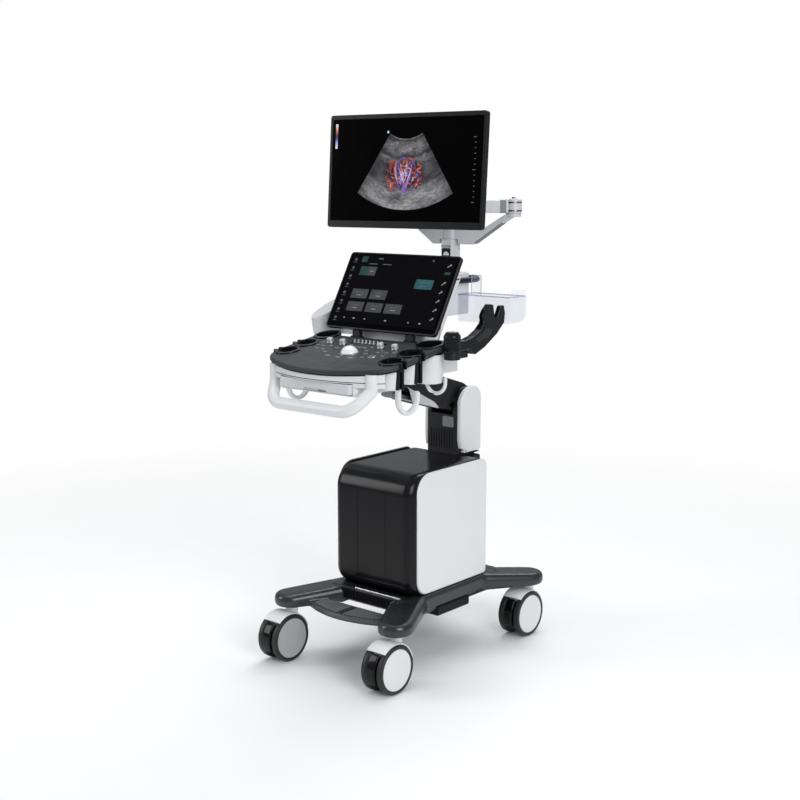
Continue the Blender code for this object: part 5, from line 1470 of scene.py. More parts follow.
def cable_arm_mount():
    """Black bracket that carries the cable arm."""
    arm = block((0.1383, -0.09, 0.82), (0.23, -0.068, 0.837), 0.003, 0.002, "Z")
    boss = disc(CABLE_ARM, 0.0205, 0.819, 0.8375, 0.002)
    strut = block((0.22, -0.12, 0.8205), (0.248, -0.069, 0.8365), 0.004, 0.002, "Z")
    spigot = upright(CABLE_ARM, 0.006, 0.83, 0.86, 24)
    return union(arm, boss, strut, spigot)


def cable_arm():
    """Black swivelling arm with two prongs for probe cables."""
    points = [(-0.118, 0.839), (-0.06, 0.839), (-0.056, 0.829), (-0.04, 0.8245), (0.0, 0.84),
              (0.051, 0.869), (0.086, 0.896), (0.093, 0.918), (0.087, 0.94), (0.073, 0.939), (0.058, 0.908),
              (0.048, 0.91), (0.041, 0.944), (0.022, 0.947), (0.004, 0.932), (-0.006, 0.918),
              (0.0, 0.903), (-0.018, 0.884), (-0.048, 0.87), (-0.078, 0.864), (-0.118, 0.864)]
    radii = [0.0045, 0.006, 0.008, 0.012, 0.02, 0.02, 0.012, 0.01, 0.0055, 0.006, 0.004, 0.004, 0.0065, 0.008]
    radii += [0.012, 0.012, 0.01, 0.02, 0.02, 0.02, 0.0045]
    outline = fillet(points, radii, 6)
    plate = slab(outline, "X", CABLE_ARM.x - 0.0125, CABLE_ARM.x + 0.0125, 0.0036, steps=5)
    for vert in plate.verts:
        t = min(1.0, max(0.0, (vert.co.z - 0.88) / 0.035))
        vert.co.x = CABLE_ARM.x + (vert.co.x - CABLE_ARM.x) * (1.0 - 0.45 * t * t * (3 - 2 * t))
    profile = rounded_profile([(0.0, 0.0), (0.0215, 0.0), (0.0215, 0.04), (0.015, 0.05), (0.0, 0.05)],
                              0.004, 5)
    knuckle = turned(profile, CABLE_ARM, "Z", 56)
    shape = union(plate, knuckle)
    bore = upright(CABLE_ARM, 0.0068, 0.8, 0.862)
    ring = cut(upright(CABLE_ARM, 0.023, 0.869, 0.87, 56),
               upright(CABLE_ARM, 0.0208, 0.86, 0.88, 56))
    return cut(shape, bore, ring)


def arm_pad():
    """Softer insert along the upper edge of the cable arm."""
    points = [(-0.044, 0.864), (-0.014, 0.8765), (0.002, 0.886), (0.016, 0.886), (0.03, 0.878),
              (0.018, 0.866), (-0.03, 0.854)]
    outline = fillet(points, 0.008, 5)
    return slab(outline, "X", CABLE_ARM.x - 0.0131, CABLE_ARM.x + 0.0131, 0.0006, steps=2)


def add_console():
    piece("panel", control_panel(), "charcoal_panel", "console", "console_top",
          bevel=0.0004)
    line = sloped(slab(console_outline(0.0035), "Z",
                       -PANEL_THICKNESS - 0.0032, -PANEL_THICKNESS + 0.002, 0.0))
    cups = [cylinder((s * PROBE_CUP_X, y, 0.0), r - 0.002, 0.7, 0.9, "Z", 48) for s in (-1, 1)
            for y, r, _ in PROBE_CUPS]
    rear = []
    for side in (-1, 1):
        low_x, high_x = span(side, 0.176, 0.24)
        rear.append(box((low_x, -0.13, 0.7), (high_x, -0.1, 0.9)))
    well = upright(TRACKBALL, BALL_WELL_RADIUS, 0.7, 0.9, 48)
    slots = [cup_slot(s, y, 0.7, 0.9) for s in (-1, 1) for y in SLOTTED_CUPS]
    piece("panel_underline", cut(line, *cups, *rear, *slots, well), "black_gloss", "console")
    # thin black strip round the fascia's front: painted shadow of the gap above the drawer
    line = slab(fascia_outline(-0.0004), "Z", 0.7766, 0.7782, 0.0)
    rear_half = box((-0.3, -0.318, 0.7), (0.3, 0.2, 0.9))
    piece("fascia_shadow_line", cut(line, rear_half), "black_satin", "console")
    piece("underside", console_underside(), "white_plastic", "console", "console_base",
          bevel=0.0006)
    piece("handle", front_handle(), "side_white", "console", "front_handle")
    piece("drawer_tray", keyboard_drawer(), "pale_grey", "drawer", "keyboard_drawer",
          bevel=0.0004)
    piece("drawer_keys", drawer_keys(), "mid_grey", "drawer")
    latch = block((0.016, -0.3708, 0.7482), (0.044, -0.368, 0.752), 0.0014, 0.0006, "Y", 3)
    piece("drawer_latch", latch, "mid_grey", "drawer")
    for side, name in SIDES:
        piece("cups_" + name, probe_holder(side), "white_plastic", "console", "probe_holder_" + name,
              bevel=0.0005)
        piece("cup_liner_" + name, probe_liner(side), "black_gloss", "console", "probe_liner_" + name)
        piece("hook_" + name, cable_hook(side), "side_white", "console", "cable_hook_" + name)
        for i, (y, radius, bottom) in enumerate(PROBE_CUPS):
            piece("cup_collar_%s_%d" % (name, i + 1), cup_collar(side, y, radius), "black_gloss", "console")
            if y in SLOTTED_CUPS:
                piece("slot_trim_%s_%d" % (name, i + 1), slot_trim(side, y, radius, bottom), "black_gloss",
                      "console")
    piece("ball_smooth", trackball(), "ball_white", "ball", "trackball")
    piece("ball_bezel", trackball_ring(), "dark_metal", "console")
    for i, (x, y) in enumerate(KNOBS):
        piece("knob_cap_%d" % (i + 1), knob(x, y), "knob_metal", "knob_%d_body" % (i + 1),
              "knob_%d" % (i + 1))
        top = turned(rounded_profile([(0.0, 0.0128), (0.0066, 0.0128), (0.0062, 0.0143), (0.0, 0.0145)],
                                     0.0004, 2), sides=40)
        piece("knob_top_%d" % (i + 1), moved(top, panel_matrix(x, y)), "pale_grey", "knob_%d_body" % (i + 1))
        piece("knob_skirt_%d" % (i + 1), knob_ring(x, y), "silver", "knob_%d_body" % (i + 1))
    button = moved(push_button(0.0091, -0.0042, 0.0024), panel_matrix(*FREEZE_BUTTON))
    piece("freeze_key", button, "key_silver", "button", "freeze_button")
    bezel = turned(rounded_profile([(0.0097, -0.001), (0.0116, -0.001), (0.0113, 0.0011), (0.0097, 0.0011)],
                                   0.0004, 2), sides=48)
    piece("freeze_bezel", moved(bezel, panel_matrix(*FREEZE_BUTTON)), "silver", "console")
    for i, (x, y, width, depth) in enumerate(SILVER_KEYS):
        piece("key_light_%d" % (i + 1), oblong_key(x, y, width, depth), "key_silver", "console")
    for i, (x, y, width, depth) in enumerate(DARK_KEYS):
        piece("key_dark_%d" % (i + 1), oblong_key(x, y, width, depth, 0.0016), "mid_grey", "console")
    row = sloped(slab(rounded_outline(-0.056, 0.056, -0.1745, -0.1545, 0.004, 5), "Z",
                      -0.001, 0.0012, 0.0005))
    piece("toggle_plate", row, "black_gloss", "console")
    for i in range(8):
        piece("toggle_%d" % (i + 1), toggle(-0.0455 + 0.013 * i, -0.165), "knob_metal", "console")
    piece("housing_rear", rear_housing(), "white_plastic", "console", "rear_housing",
          angle=30)
    piece("bottle_cup", gel_cup(), "pale_grey", "console", "gel_cup", bevel=0.0005)
    piece("bottle_sleeve", gel_liner(), "mid_grey", "console")
    piece("grab_bar", rear_handle(), "black_satin", "console", "rear_handle")
    piece("tray_clear", clear_bin(), "clear_plastic", "console", "clear_bin", bevel=0.0004)
    # painted shade along the clear tray's edges
    piece("tray_clear_rim_shade", bin_edge_shade(), "clear_edge_shade", "console")
    piece("cable_mount", cable_arm_mount(), "black_satin", "console", "cable_arm_mount")
    piece("cable_fork", cable_arm(), "black_gloss", "cable_swing", "cable_arm")
    piece("cable_fork_pad", arm_pad(), "rubber", "cable_swing")


# ---------------------------------------------------------------- touch screen

def touch_matrix():
    """From the touch screen's frame (x right, y up the glass, z towards the operator) to the machine."""
    return Matrix.Translation(TOUCH_CENTRE) @ Matrix.Rotation(math.pi / 2 - TOUCH_TILT, 4, "X")


TOUCH_HALF = (0.187, 0.111)


def touch_housing():
    """Thin casing with a tapered back and two hinge lugs."""
    w, h = TOUCH_HALF
    outline = rounded_outline(-w, w, -h, h, 0.01, 8)
    back = rounded_outline(-w + 0.04, w - 0.04, -h + 0.014, h - 0.03, 0.01, 8)
    rim = inset(outline, 0.0008)
    sections = [[(x, y, -0.03) for x, y in inset(back, 0.0012)], [(x, y, -0.0292) for x, y in back],
                [(x, y, -0.0098) for x, y in rim], [(x, y, -0.0085) for x, y in outline],
                [(x, y, -0.0008) for x, y in outline], [(x, y, 0.0) for x, y in rim]]
    shape = loft(sections)
    recess = rounded_outline(-w + 0.004, w - 0.004, -h + 0.004, h - 0.004, 0.007, 8)
    vents = []
    for i in range(18):
        x = -0.085 + 0.01 * i
        vents.append(box((x - 0.0016, 0.02, -0.04), (x + 0.0016, 0.056, -0.027)))
    shape = cut(shape, prism(recess, "Z", -0.003, 0.01), *vents)
    shape = moved(shape, touch_matrix())
    lugs = []
    holes = []
    for side in (-1, 1):
        low, high = span(side, 0.078, 0.102)
        lug = arc(TOUCH_HINGE, 0.006, 180, 360, 16) + [(-0.0975, 0.864), (-0.112, 0.87)]
        lugs.append(prism(lug, "X", low, high))
        holes.append(cylinder((0.0, *TOUCH_HINGE), 0.0034, low - 0.001, high + 0.001, "X", 24))
    shape = union(shape, *lugs)
    return cut(shape, *holes)


def touch_hinge():
    """Hinge bracket on the deck: a bar with two pairs of ears and their pins."""
    low = DECK_Z
    shape = box((-0.11, -0.0985, low), (0.11, -0.0935, 0.8455))
    ears = []
    for side in (-1, 1):
        for inner, outer in ((0.1025, 0.11), (0.07, 0.0775)):
            ends = span(side, inner, outer)
            ear = [(-0.094, low), (-0.094, 0.8455)] + arc(TOUCH_HINGE, 0.0055, 60, 200, 14) + [(-0.111, low)]
            ears.append(prism(ear, "X", *ends))
        pin_ends = span(side, 0.074, 0.106)
        ears.append(cylinder((0.0, *TOUCH_HINGE), 0.0028, *pin_ends, "X", 24))
    return union(shape, *ears)


def patch(matrix, outline, lift, thickness=0.00012):
    """Thin tile of a display, in a screen's frame with z towards the viewer."""
    return moved(slab(outline, "Z", lift - thickness, lift, 0.0), matrix)


def tile(matrix, centre, size, lift=0.0004, radius=0.0012):
    x, y = centre
    w, h = size[0] / 2, size[1] / 2
    return patch(matrix, rounded_outline(x - w, x + w, y - h, y + h, min(radius, w * 0.9, h * 0.9), 3), lift)


def touch_uv(u, v):
    """Point on the touch screen from fractions of its width and height, from the top left."""
    w, h = TOUCH_HALF
    return (-w + 2 * w * u, h - 2 * h * v)


def add_touch_screen():
    m = touch_matrix()
    w, h = TOUCH_HALF
    piece("touch_case", touch_housing(), "touch_case_black", "touch", "touch_housing",
          bevel=0.0003)
    outline = rounded_outline(-w + 0.0043, w - 0.0043, -h + 0.0043, h - 0.0043, 0.0067, 8)
    glass = moved(slab(outline, "Z", -0.0027, 0.0002, 0.0004, 0.0, 2), m)
    piece("touch_pane", glass, "screen_black", "touch", "touch_glass")
    piece("hinge", touch_hinge(), "black_satin", "console", "touch_hinge", bevel=0.0005)
    left_top = touch_uv(0.03, 0.03)
    right_low = touch_uv(0.97, 0.925)
    area = rounded_outline(left_top[0], right_low[0], right_low[1], left_top[1], 0.001, 2)
    black = glow("display_black", (0.001, 0.001, 0.0012), 1.0, 0.3, specular=0.01)
    piece("touch_display", patch(m, area, 0.0003), black, "touch")
    grey = glow("ui_tile", (0.058, 0.06, 0.062), 0.8, 0.16)
    text = glow("ui_text", (0.33, 0.34, 0.35), 0.8)
    dim = glow("ui_dim", (0.11, 0.112, 0.115), 0.8)
    green = glow("ui_green", (0.01, 0.062, 0.04), 0.8, 0.35)
    teal = glow("ui_teal", (0.014, 0.095, 0.105), 0.9, 0.25)
    tiles = []
    marks = []
    faint = []
    for row, (v, columns) in enumerate(((0.545, 2), (0.712, 3))):
        for i in range(columns):
            centre = touch_uv(0.214 + 0.174 * i, v)
            tiles.append(tile(m, centre, (0.056, 0.027)))
            faint.append(tile(m, (centre[0], centre[1] + 0.004), (0.03 - 0.006 * row, 0.0022),
                              0.0006, 0.0008))
            marks.append(tile(m, (centre[0], centre[1] - 0.004), (0.016, 0.0018), 0.0006, 0.0006))
    half_tile = touch_uv(0.216, 0.246)
    tiles.append(tile(m, (half_tile[0] + 0.014, half_tile[1]), (0.028, 0.026)))
    marks.append(tile(m, (half_tile[0] + 0.014, half_tile[1]), (0.014, 0.002), 0.0006, 0.0006))
    piece("touch_tiles", joined(*tiles), grey, "touch")
    greens = [tile(m, (half_tile[0] - 0.014, half_tile[1]), (0.027, 0.026)),
              tile(m, touch_uv(0.152, 0.092), (0.02, 0.017)),
              tile(m, touch_uv(0.925, 0.225), (0.018, 0.0075))]
    piece("touch_green", joined(*greens), green, "touch")
    piece("touch_teal", tile(m, touch_uv(0.757, 0.378), (0.058, 0.027)), teal, "touch")
    faint.append(tile(m, touch_uv(0.757, 0.358), (0.032, 0.0022), 0.0006, 0.0008))
    faint.append(tile(m, touch_uv(0.757, 0.398), (0.022, 0.0018), 0.0006, 0.0006))
    for u in (0.225, 0.262, 0.352, 0.39):
        faint.append(tile(m, touch_uv(u, 0.15), (0.016, 0.0022), 0.0004, 0.0008))
    faint.append(tile(m, touch_uv(0.3, 0.078), (0.016, 0.0038), 0.0004, 0.0012))
    for i in range(8):
        faint.append(tile(m, touch_uv(0.068, 0.1 + 0.11 * i), (0.0085 - 0.0012 * (i % 2), 0.0075), 0.0004,
                          0.003))
        faint.append(tile(m, touch_uv(0.068, 0.136 + 0.11 * i), (0.012, 0.0014), 0.0004, 0.0006))
    for i, length in enumerate((0.014, 0.01, 0.015, 0.011, 0.012, 0.013, 0.012)):
        u, v = 0.922, 0.13 + 0.112 * i
        if i == 1:
            continue
        centre = Vector((*touch_uv(u, v), 0.0))
        turn = Matrix.Translation(centre) @ Matrix.Rotation(math.radians(38), 4, "Z")
        stroke = tile(m @ turn, (0.0, 0.0), (length, 0.0024), 0.0004, 0.0011)
        marks.append(stroke)
        marks.append(tile(m @ turn, (length * 0.32, 0.0), (0.0048, 0.005), 0.0005, 0.002))
    for i, u in enumerate((0.15, 0.24, 0.34, 0.53, 0.735, 0.835)):
        marks.append(tile(m, touch_uv(u, 0.865), (0.0075 if i % 2 else 0.005, 0.0036), 0.0004, 0.0016))
    faint.append(tile(m, touch_uv(0.772, 0.074), (0.006, 0.006), 0.0004, 0.0028))
    piece("touch_marks", joined(*marks), text, "touch")
    piece("touch_faint", joined(*faint), dim, "touch")


# ---------------------------------------------------------------- monitor

MONITOR_HALF = (0.2425, 0.1475)
MONITOR_CENTRE_Z = 1.2755
SCREEN_Y = -0.109
BEZEL_SIDE = 0.0085
BEZEL_TOP = 0.0115
BEZEL_LOW = 0.018


def yoke_matrix():
    """From the yoke's own frame (axis at the origin, operator towards -Y) to the machine."""
    return Matrix.Translation((YOKE.x, YOKE.y, 0.0)) @ Matrix.Rotation(MONITOR_YAW, 4, "Z")


def monitor_matrix():
    """From the upright monitor's frame to the machine, with its backward tilt."""
    there = Matrix.Translation(TILT_AXIS)
    return yoke_matrix() @ there @ Matrix.Rotation(-MONITOR_TILT, 4, "X") @ there.inverted()


def screen_matrix():
    """From the picture's frame (x right, y up, z towards the viewer) to the machine."""
    place = Matrix.Translation((0.0, SCREEN_Y + 0.0005, MONITOR_CENTRE_Z))
    return monitor_matrix() @ place @ Matrix.Rotation(math.pi / 2, 4, "X")


def glass_outline(inward):
    """Outline of the glass: narrow bezel at the sides and top, wider lip below."""
    w, h = MONITOR_HALF
    side = w - BEZEL_SIDE - inward
    z = MONITOR_CENTRE_Z
    return rounded_outline(-side, side, z - h + BEZEL_LOW + inward, z + h - BEZEL_TOP - inward, 0.002, 4)


def monitor_shell():
    """Casing with its glass recess, stepped back, bulge, vents and tilt lugs."""
    w, h = MONITOR_HALF
    z = MONITOR_CENTRE_Z
    front = rounded_outline(-w, w, z - h, z + h, 0.008, 8)
    back = rounded_outline(-w + 0.01, w - 0.01, z - h + 0.01, z + h - 0.01, 0.008, 8)
    rim = inset(front, 0.0012)
    sections = [[(x, SCREEN_Y, v) for x, v in rim],
                [(x, SCREEN_Y + 0.0004, v) for x, v in inset(front, 0.0004)],
                [(x, SCREEN_Y + 0.0014, v) for x, v in front],
                [(x, SCREEN_Y + 0.0136, v) for x, v in front],
                [(x, SCREEN_Y + 0.0148, v) for x, v in inset(front, 0.001)],
                [(x, SCREEN_Y + 0.0236, v) for x, v in back],
                [(x, SCREEN_Y + 0.024, v) for x, v in inset(back, 0.0008)]]
    shape = loft(sections)
    bulge = []
    for y, half_x, half_z, radius in ((0.02, 0.185, 0.11, 0.02), (0.0385, 0.153, 0.083, 0.02),
                                      (0.0397, 0.1515, 0.0815, 0.02), (0.04, 0.1495, 0.0795, 0.02)):
        ring = rounded_outline(-half_x, half_x, z - 0.005 - half_z, z - 0.005 + half_z, radius, 8)
        bulge.append([(x, SCREEN_Y + y, v) for x, v in ring])
    lugs = []
    for side in (-1, 1):
        lug = arc((TILT_AXIS.y, TILT_AXIS.z), 0.012, -90, 90, 18)
        lug += [(SCREEN_Y + 0.036, TILT_AXIS.z + 0.016), (SCREEN_Y + 0.036, TILT_AXIS.z - 0.016)]
        ends = span(side, 0.0205, 0.032)
        lugs.append(slab(lug, "X", *ends, 0.0008, steps=2))
    pin = cylinder(TILT_AXIS, 0.0048, -0.0215, -0.004, "X", 24)
    other_pin = cylinder(TILT_AXIS, 0.0048, 0.004, 0.0215, "X", 24)
    shape = union(shape, loft(bulge), *lugs, pin, other_pin)
    tools = [prism(glass_outline(0.0), "Y", SCREEN_Y - 0.01, SCREEN_Y + 0.003)]
    for i in range(22):
        x = -0.126 + 0.012 * i
        low = (x - 0.002, SCREEN_Y + 0.038, z + 0.028)
        tools.append(block(low, (x + 0.002, SCREEN_Y + 0.05, z + 0.06), 0.0019, 0.0, "Y", 3))
    return moved(cut(shape, *tools), monitor_matrix())


def monitor_yoke():
    """Swivelling bracket with the tilt barrel."""
    hub = disc((0.0, 0.0), 0.018, YOKE.z, 1.233)
    neck = [(-0.014, YOKE.z + 0.002), (0.014, YOKE.z + 0.002), (0.014, 1.24), (TILT_AXIS.y + 0.008, 1.28),
            (TILT_AXIS.y - 0.002, 1.281), (TILT_AXIS.y - 0.01, 1.264), (-0.014, 1.224)]
    plate = slab(fillet(neck, [0.0, 0.0, 0.01, 0.004, 0.004, 0.004, 0.008], 5), "X", -0.0175, 0.0175, 0.0025)
    barrel = cylinder(TILT_AXIS, 0.013, -0.02, 0.02, "X", 40)
    shape = union(hub, plate, barrel)
    bore = cylinder((0, 0, 0), 0.0078, 1.19, 1.223, "Z", 28)
    pins = cylinder(TILT_AXIS, 0.0056, -0.03, 0.03, "X", 28)
    return moved(cut(shape, bore, pins), yoke_matrix())


def beam(start, end, width, start_z, end_z, edge=0.004, steps=4):
    """Bar with rounded edges between two plan points; its bottom and top heights change along it."""
    start = Vector((start[0], start[1], 0.0))
    end = Vector((end[0], end[1], 0.0))
    across = (end - start).normalized().cross(Vector((0, 0, 1)))
    sections = []
    for k in range(9):
        t = k / 8
        low = start_z[0] + (end_z[0] - start_z[0]) * t
        high = start_z[1] + (end_z[1] - start_z[1]) * t
        profile = rounded_outline(-width / 2, width / 2, low, high, edge, steps)
        place = start.lerp(end, t)
        sections.append([place + across * u + Vector((0, 0, z)) for u, z in profile])
    return loft(sections)


def arm_plane(outline, half, edge):
    """Plate in the upright plane from the hub to the elbow: outline is (distance, z)."""
    reach = Vector((ELBOW.x - ARM_HUB.x, ELBOW.y - ARM_HUB.y))
    plate = slab(outline, "Y", -half, half, edge, steps=4)
    turn = Matrix.Rotation(math.atan2(reach.y, reach.x), 4, "Z")
    return moved(plate, Matrix.Translation((ARM_HUB.x, ARM_HUB.y, 0.0)) @ turn)


def arm_lower():
    """Lower monitor arm: gull-winged casting over the post with a raking leg to the elbow."""
    points = [(-0.046, 1.087), (0.07, 1.086), (0.156, 1.148), (0.1752, 1.16), (0.1752, 1.1699),
              (0.16, 1.169), (0.098, 1.13), (0.03, 1.132), (-0.094, 1.15), (-0.094, 1.129)]
    outline = fillet(points, [0.006, 0.008, 0.02, 0.004, 0.004, 0.01, 0.02, 0.02, 0.005, 0.006], 5)
    elbow = disc(ELBOW, 0.0205, 1.1605, ELBOW.z - 0.0003)
    spigot = upright(ELBOW, 0.008, 1.16, 1.19)
    hub = disc(ARM_HUB, 0.0235, ARM_HUB.z, 1.134)
    shape = union(arm_plane(outline, 0.017, 0.0025), elbow, spigot, hub)
    clearance = upright(ARM_HUB, 0.031, 1.06, 1.1003, 48)
    bore = upright(ARM_HUB, 0.0098, 1.08, 1.119)
    return cut(shape, clearance, bore)


def leg_shade_strip():
    """Darker strip along the lower edge of the raking leg: painted shade on the leg's underside."""
    points = [(0.074, 1.0882), (0.15, 1.143), (0.15, 1.1475), (0.074, 1.0927)]
    return arm_plane(points, 0.0174, 0.0008)


def arm_upper():
    """Upper monitor arm from the elbow to the yoke."""
    top = YOKE.z - 0.0003
    elbow = disc(ELBOW, 0.022, ELBOW.z, top + 0.0015)
    low = ELBOW.z + 0.0006
    bar = beam((ELBOW.x, ELBOW.y), (YOKE.x, YOKE.y), 0.032, (low, top - 0.0006), (low, top - 0.0006), 0.0035)
    end = disc(YOKE, 0.019, ELBOW.z, top)
    spigot = upright(YOKE, 0.007, 1.19, 1.222)
    shape = union(elbow, bar, end, spigot)
    bore = upright(ELBOW, 0.0088, 1.15, 1.191)
    return cut(shape, bore)


def along_bar(t, across=0.0):
    """Point from the elbow (0) to the yoke (1), moved sideways off the upper arm's mid-line."""
    start = Vector((ELBOW.x, ELBOW.y, 0.0))
    end = Vector((YOKE.x, YOKE.y, 0.0))
    direction = (end - start).normalized()
    return start.lerp(end, t) + direction.cross(Vector((0, 0, 1))) * across


def add_elbow_details():
    """Dark band painted as the shaded end of the upper arm, clips and release button at the elbow."""
    # mid grey band next to the elbow: painted shade on the upper arm's end face
    band = beam(along_bar(0.09), along_bar(0.16), 0.033, (1.1706, 1.2054), (1.1706, 1.2054), 0.0038)
    piece("elbow_shade_band", band, "mid_grey", "upper_arm")
    for name, low, high in (("elbow_ring", 1.1965, 1.201), ("elbow_ring_low", 1.1745, 1.179)):
        ring = disc(ELBOW, 0.0224, low, high, 0.0006, 56, 2, inner=0.019)
        piece(name, ring, "dark_metal", "upper_arm")
    cap = turned(rounded_profile([(0.0, 1.205), (0.012, 1.205), (0.012, 1.2085), (0.0, 1.209)], 0.0012, 3),
                 (ELBOW.x, ELBOW.y, 0.0), "Z", 40)
    piece("elbow_cap", cap, "pale_grey", "upper_arm")
    profile = rounded_profile([(0.0, 1.208), (0.0048, 1.208), (0.0048, 1.2128), (0.0, 1.2131)], 0.001, 3)
    button = turned(profile, (ELBOW.x, ELBOW.y, 0.0), "Z", 28)
    piece("elbow_button", button, "dark_metal", "upper_arm")
    for i, t in enumerate((0.4, 0.62)):
        clip = beam(along_bar(t, 0.015), along_bar(t + 0.045, 0.015), 0.006,
                    (1.178, 1.1965), (1.178, 1.1965), 0.0018)
        piece("cable_clip_%d" % (i + 1), clip, "mid_grey", "upper_arm")


def ribbon(points, lift):
    """Flat tapering strip through (x, y, half width) points of the picture."""
    path = curve_through([(x, y, w) for x, y, w in points], 6)
    sections = []
    for i, here in enumerate(path):
        before = path[max(0, i - 1)]
        after = path[min(len(path) - 1, i + 1)]
        along = Vector((after.x - before.x, after.y - before.y)).normalized()
        side = Vector((-along.y, along.x)) * max(0.0002, here.z)
        low = lift - 0.0001
        sections.append([(here.x + side.x, here.y + side.y, low), (here.x - side.x, here.y - side.y, low),
                         (here.x - side.x, here.y - side.y, lift), (here.x + side.x, here.y + side.y, lift)])
    return loft(sections)


FAN_APEX = (0.003, 0.174)
FAN_HALF_ANGLE = math.radians(32.8)
FAN_INNER = 0.092
FAN_OUTER = 0.274


def fan_point(angle, radius):
    return (FAN_APEX[0] + radius * math.sin(angle), FAN_APEX[1] - radius * math.cos(angle))


def fan(lift, inner, outer, half_angle, steps=72, rings=16):
    """Sector of the picture with UVs: across the beam and along its depth."""
    shape = bmesh.new()
    layer = shape.loops.layers.uv.new("beam")
    uv = {}
    for level in (lift - 0.0001, lift):
        grid = []
        for r in range(rings + 1):
            radius = inner + (outer - inner) * r / rings
            row = []
            for i in range(steps + 1):
                angle = -half_angle + 2 * half_angle * i / steps
                vert = shape.verts.new((*fan_point(angle, radius), level))
                uv[vert] = (i / steps, (radius - FAN_INNER) / (FAN_OUTER - FAN_INNER))
                row.append(vert)
            grid.append(row)
        for r in range(rings):
            for i in range(steps):
                shape.faces.new((grid[r][i], grid[r][i + 1], grid[r + 1][i + 1], grid[r + 1][i]))
        if level < lift:
            lower = grid
    rim = [(0, i) for i in range(steps)] + [(r, steps) for r in range(rings)]
    rim += [(rings, i) for i in range(steps, 0, -1)] + [(r, 0) for r in range(rings, 0, -1)]
    for k, (r, i) in enumerate(rim):
        n, j = rim[(k + 1) % len(rim)]
        shape.faces.new((lower[r][i], lower[n][j], grid[n][j], grid[r][i]))
    for face in shape.faces:
        for loop in face.loops:
            loop[layer].uv = uv[loop.vert]
    return shape


# Brightness of the echo along the beam, from the probe outwards.
DEPTH_TONES = ((0.0, 0.1), (0.012, 0.17), (0.03, 0.012), (0.06, 0.15), (0.17, 0.2), (0.225, 0.08),
               (0.26, 0.035), (0.3, 0.2), (0.33, 0.14), (0.4, 0.075), (0.66, 0.07), (0.72, 0.2),
               (0.8, 0.24), (0.97, 0.26), (1.0, 0.14))
DISPLAY_BASE = (0.003, 0.003, 0.004, 1.0)


def beam_place(tree):
    """The fan's UV: across the beam in X and along its depth in Y."""
    uv = add_node(tree, "UVMap")
    uv.uv_map = "beam"
    return uv.outputs["UV"]


def tissue_material():
    """Speckled grey echo picture: layers near the probe, a dark oval organ and brighter tissue behind it."""
    made, tree, shader = new_material("echo_tissue")
    uv = beam_place(tree)
    split = add_node(tree, "SeparateXYZ", {"Vector": uv})
    across, deep = split.outputs["X"], split.outputs["Y"]

    def speckle(scale_u, scale_v, detail, low, high):
        stretch = add_node(tree, "Mapping", {"Vector": uv, "Scale": (scale_u, scale_v, 1.0)})
        return map_range(tree, noise(tree, stretch.outputs["Vector"], 1.0, detail, 0.62),
                         0.34, 0.68, low, high)

    wavy = maths(tree, "MULTIPLY_ADD", speckle(3.0, 1.2, 2.0, -0.5, 0.5), 0.08, deep)
    near = maths(tree, "LESS_THAN", deep, 0.05)
    layer = add_node(tree, "Mix", {"Factor": near, "A": wavy, "B": deep}).outputs["Result"]
    shaded = ramp(tree, layer, [(position, (tone, tone, tone)) for position, tone in DEPTH_TONES])
    sides = map_range(tree, maths(tree, "PINGPONG", across, 0.5), 0.0, 0.2, 0.42, 1.0, True)
    for factor in (sides, speckle(24.0, 34.0, 4.0, 0.55, 1.25), speckle(4.0, 9.0, 4.0, 0.35, 1.55),
                   organ_mask(tree, across, deep)):
        shaded = maths(tree, "MULTIPLY", shaded, factor)
    cool = maths(tree, "MULTIPLY", shaded, 1.05)
    colour = add_node(tree, "CombineColor", {"Red": shaded, "Green": shaded, "Blue": cool}).outputs["Color"]
    set_inputs(tree, shader, {"Base Color": DISPLAY_BASE, "Roughness": 0.12, "Emission Strength": 1.0,
                              "Emission Color": colour})
    return made


def organ_mask(tree, across, deep):
    """Factor that darkens a soft oval in the middle of the picture."""
    terms = []
    for place, centre, half in ((across, 0.485, 0.34), (deep, 0.48, 0.235)):
        share = maths(tree, "DIVIDE", maths(tree, "SUBTRACT", place, centre), half)
        terms.append(maths(tree, "POWER", maths(tree, "ABSOLUTE", share), 2.0))
    return map_range(tree, maths(tree, "ADD", *terms), 0.6, 1.1, 0.38, 1.0, True)


def scale_bar_material():
    """Colour scale from white through red and dark to blue and white."""
    made, tree, shader = new_material("echo_scale")
    split = add_node(tree, "SeparateXYZ", {"Vector": beam_place(tree)})
    stops = ((0.0, (0.75, 0.75, 0.85)), (0.22, (0.35, 0.38, 0.75)), (0.4, (0.04, 0.04, 0.3)),
             (0.52, (0.02, 0.02, 0.03)), (0.62, (0.28, 0.03, 0.04)), (0.8, (0.65, 0.3, 0.28)),
             (1.0, (0.85, 0.83, 0.8)))
    set_inputs(tree, shader, {"Base Color": DISPLAY_BASE, "Emission Strength": 1.0,
                              "Emission Color": ramp(tree, split.outputs["Y"], stops)})
    return made


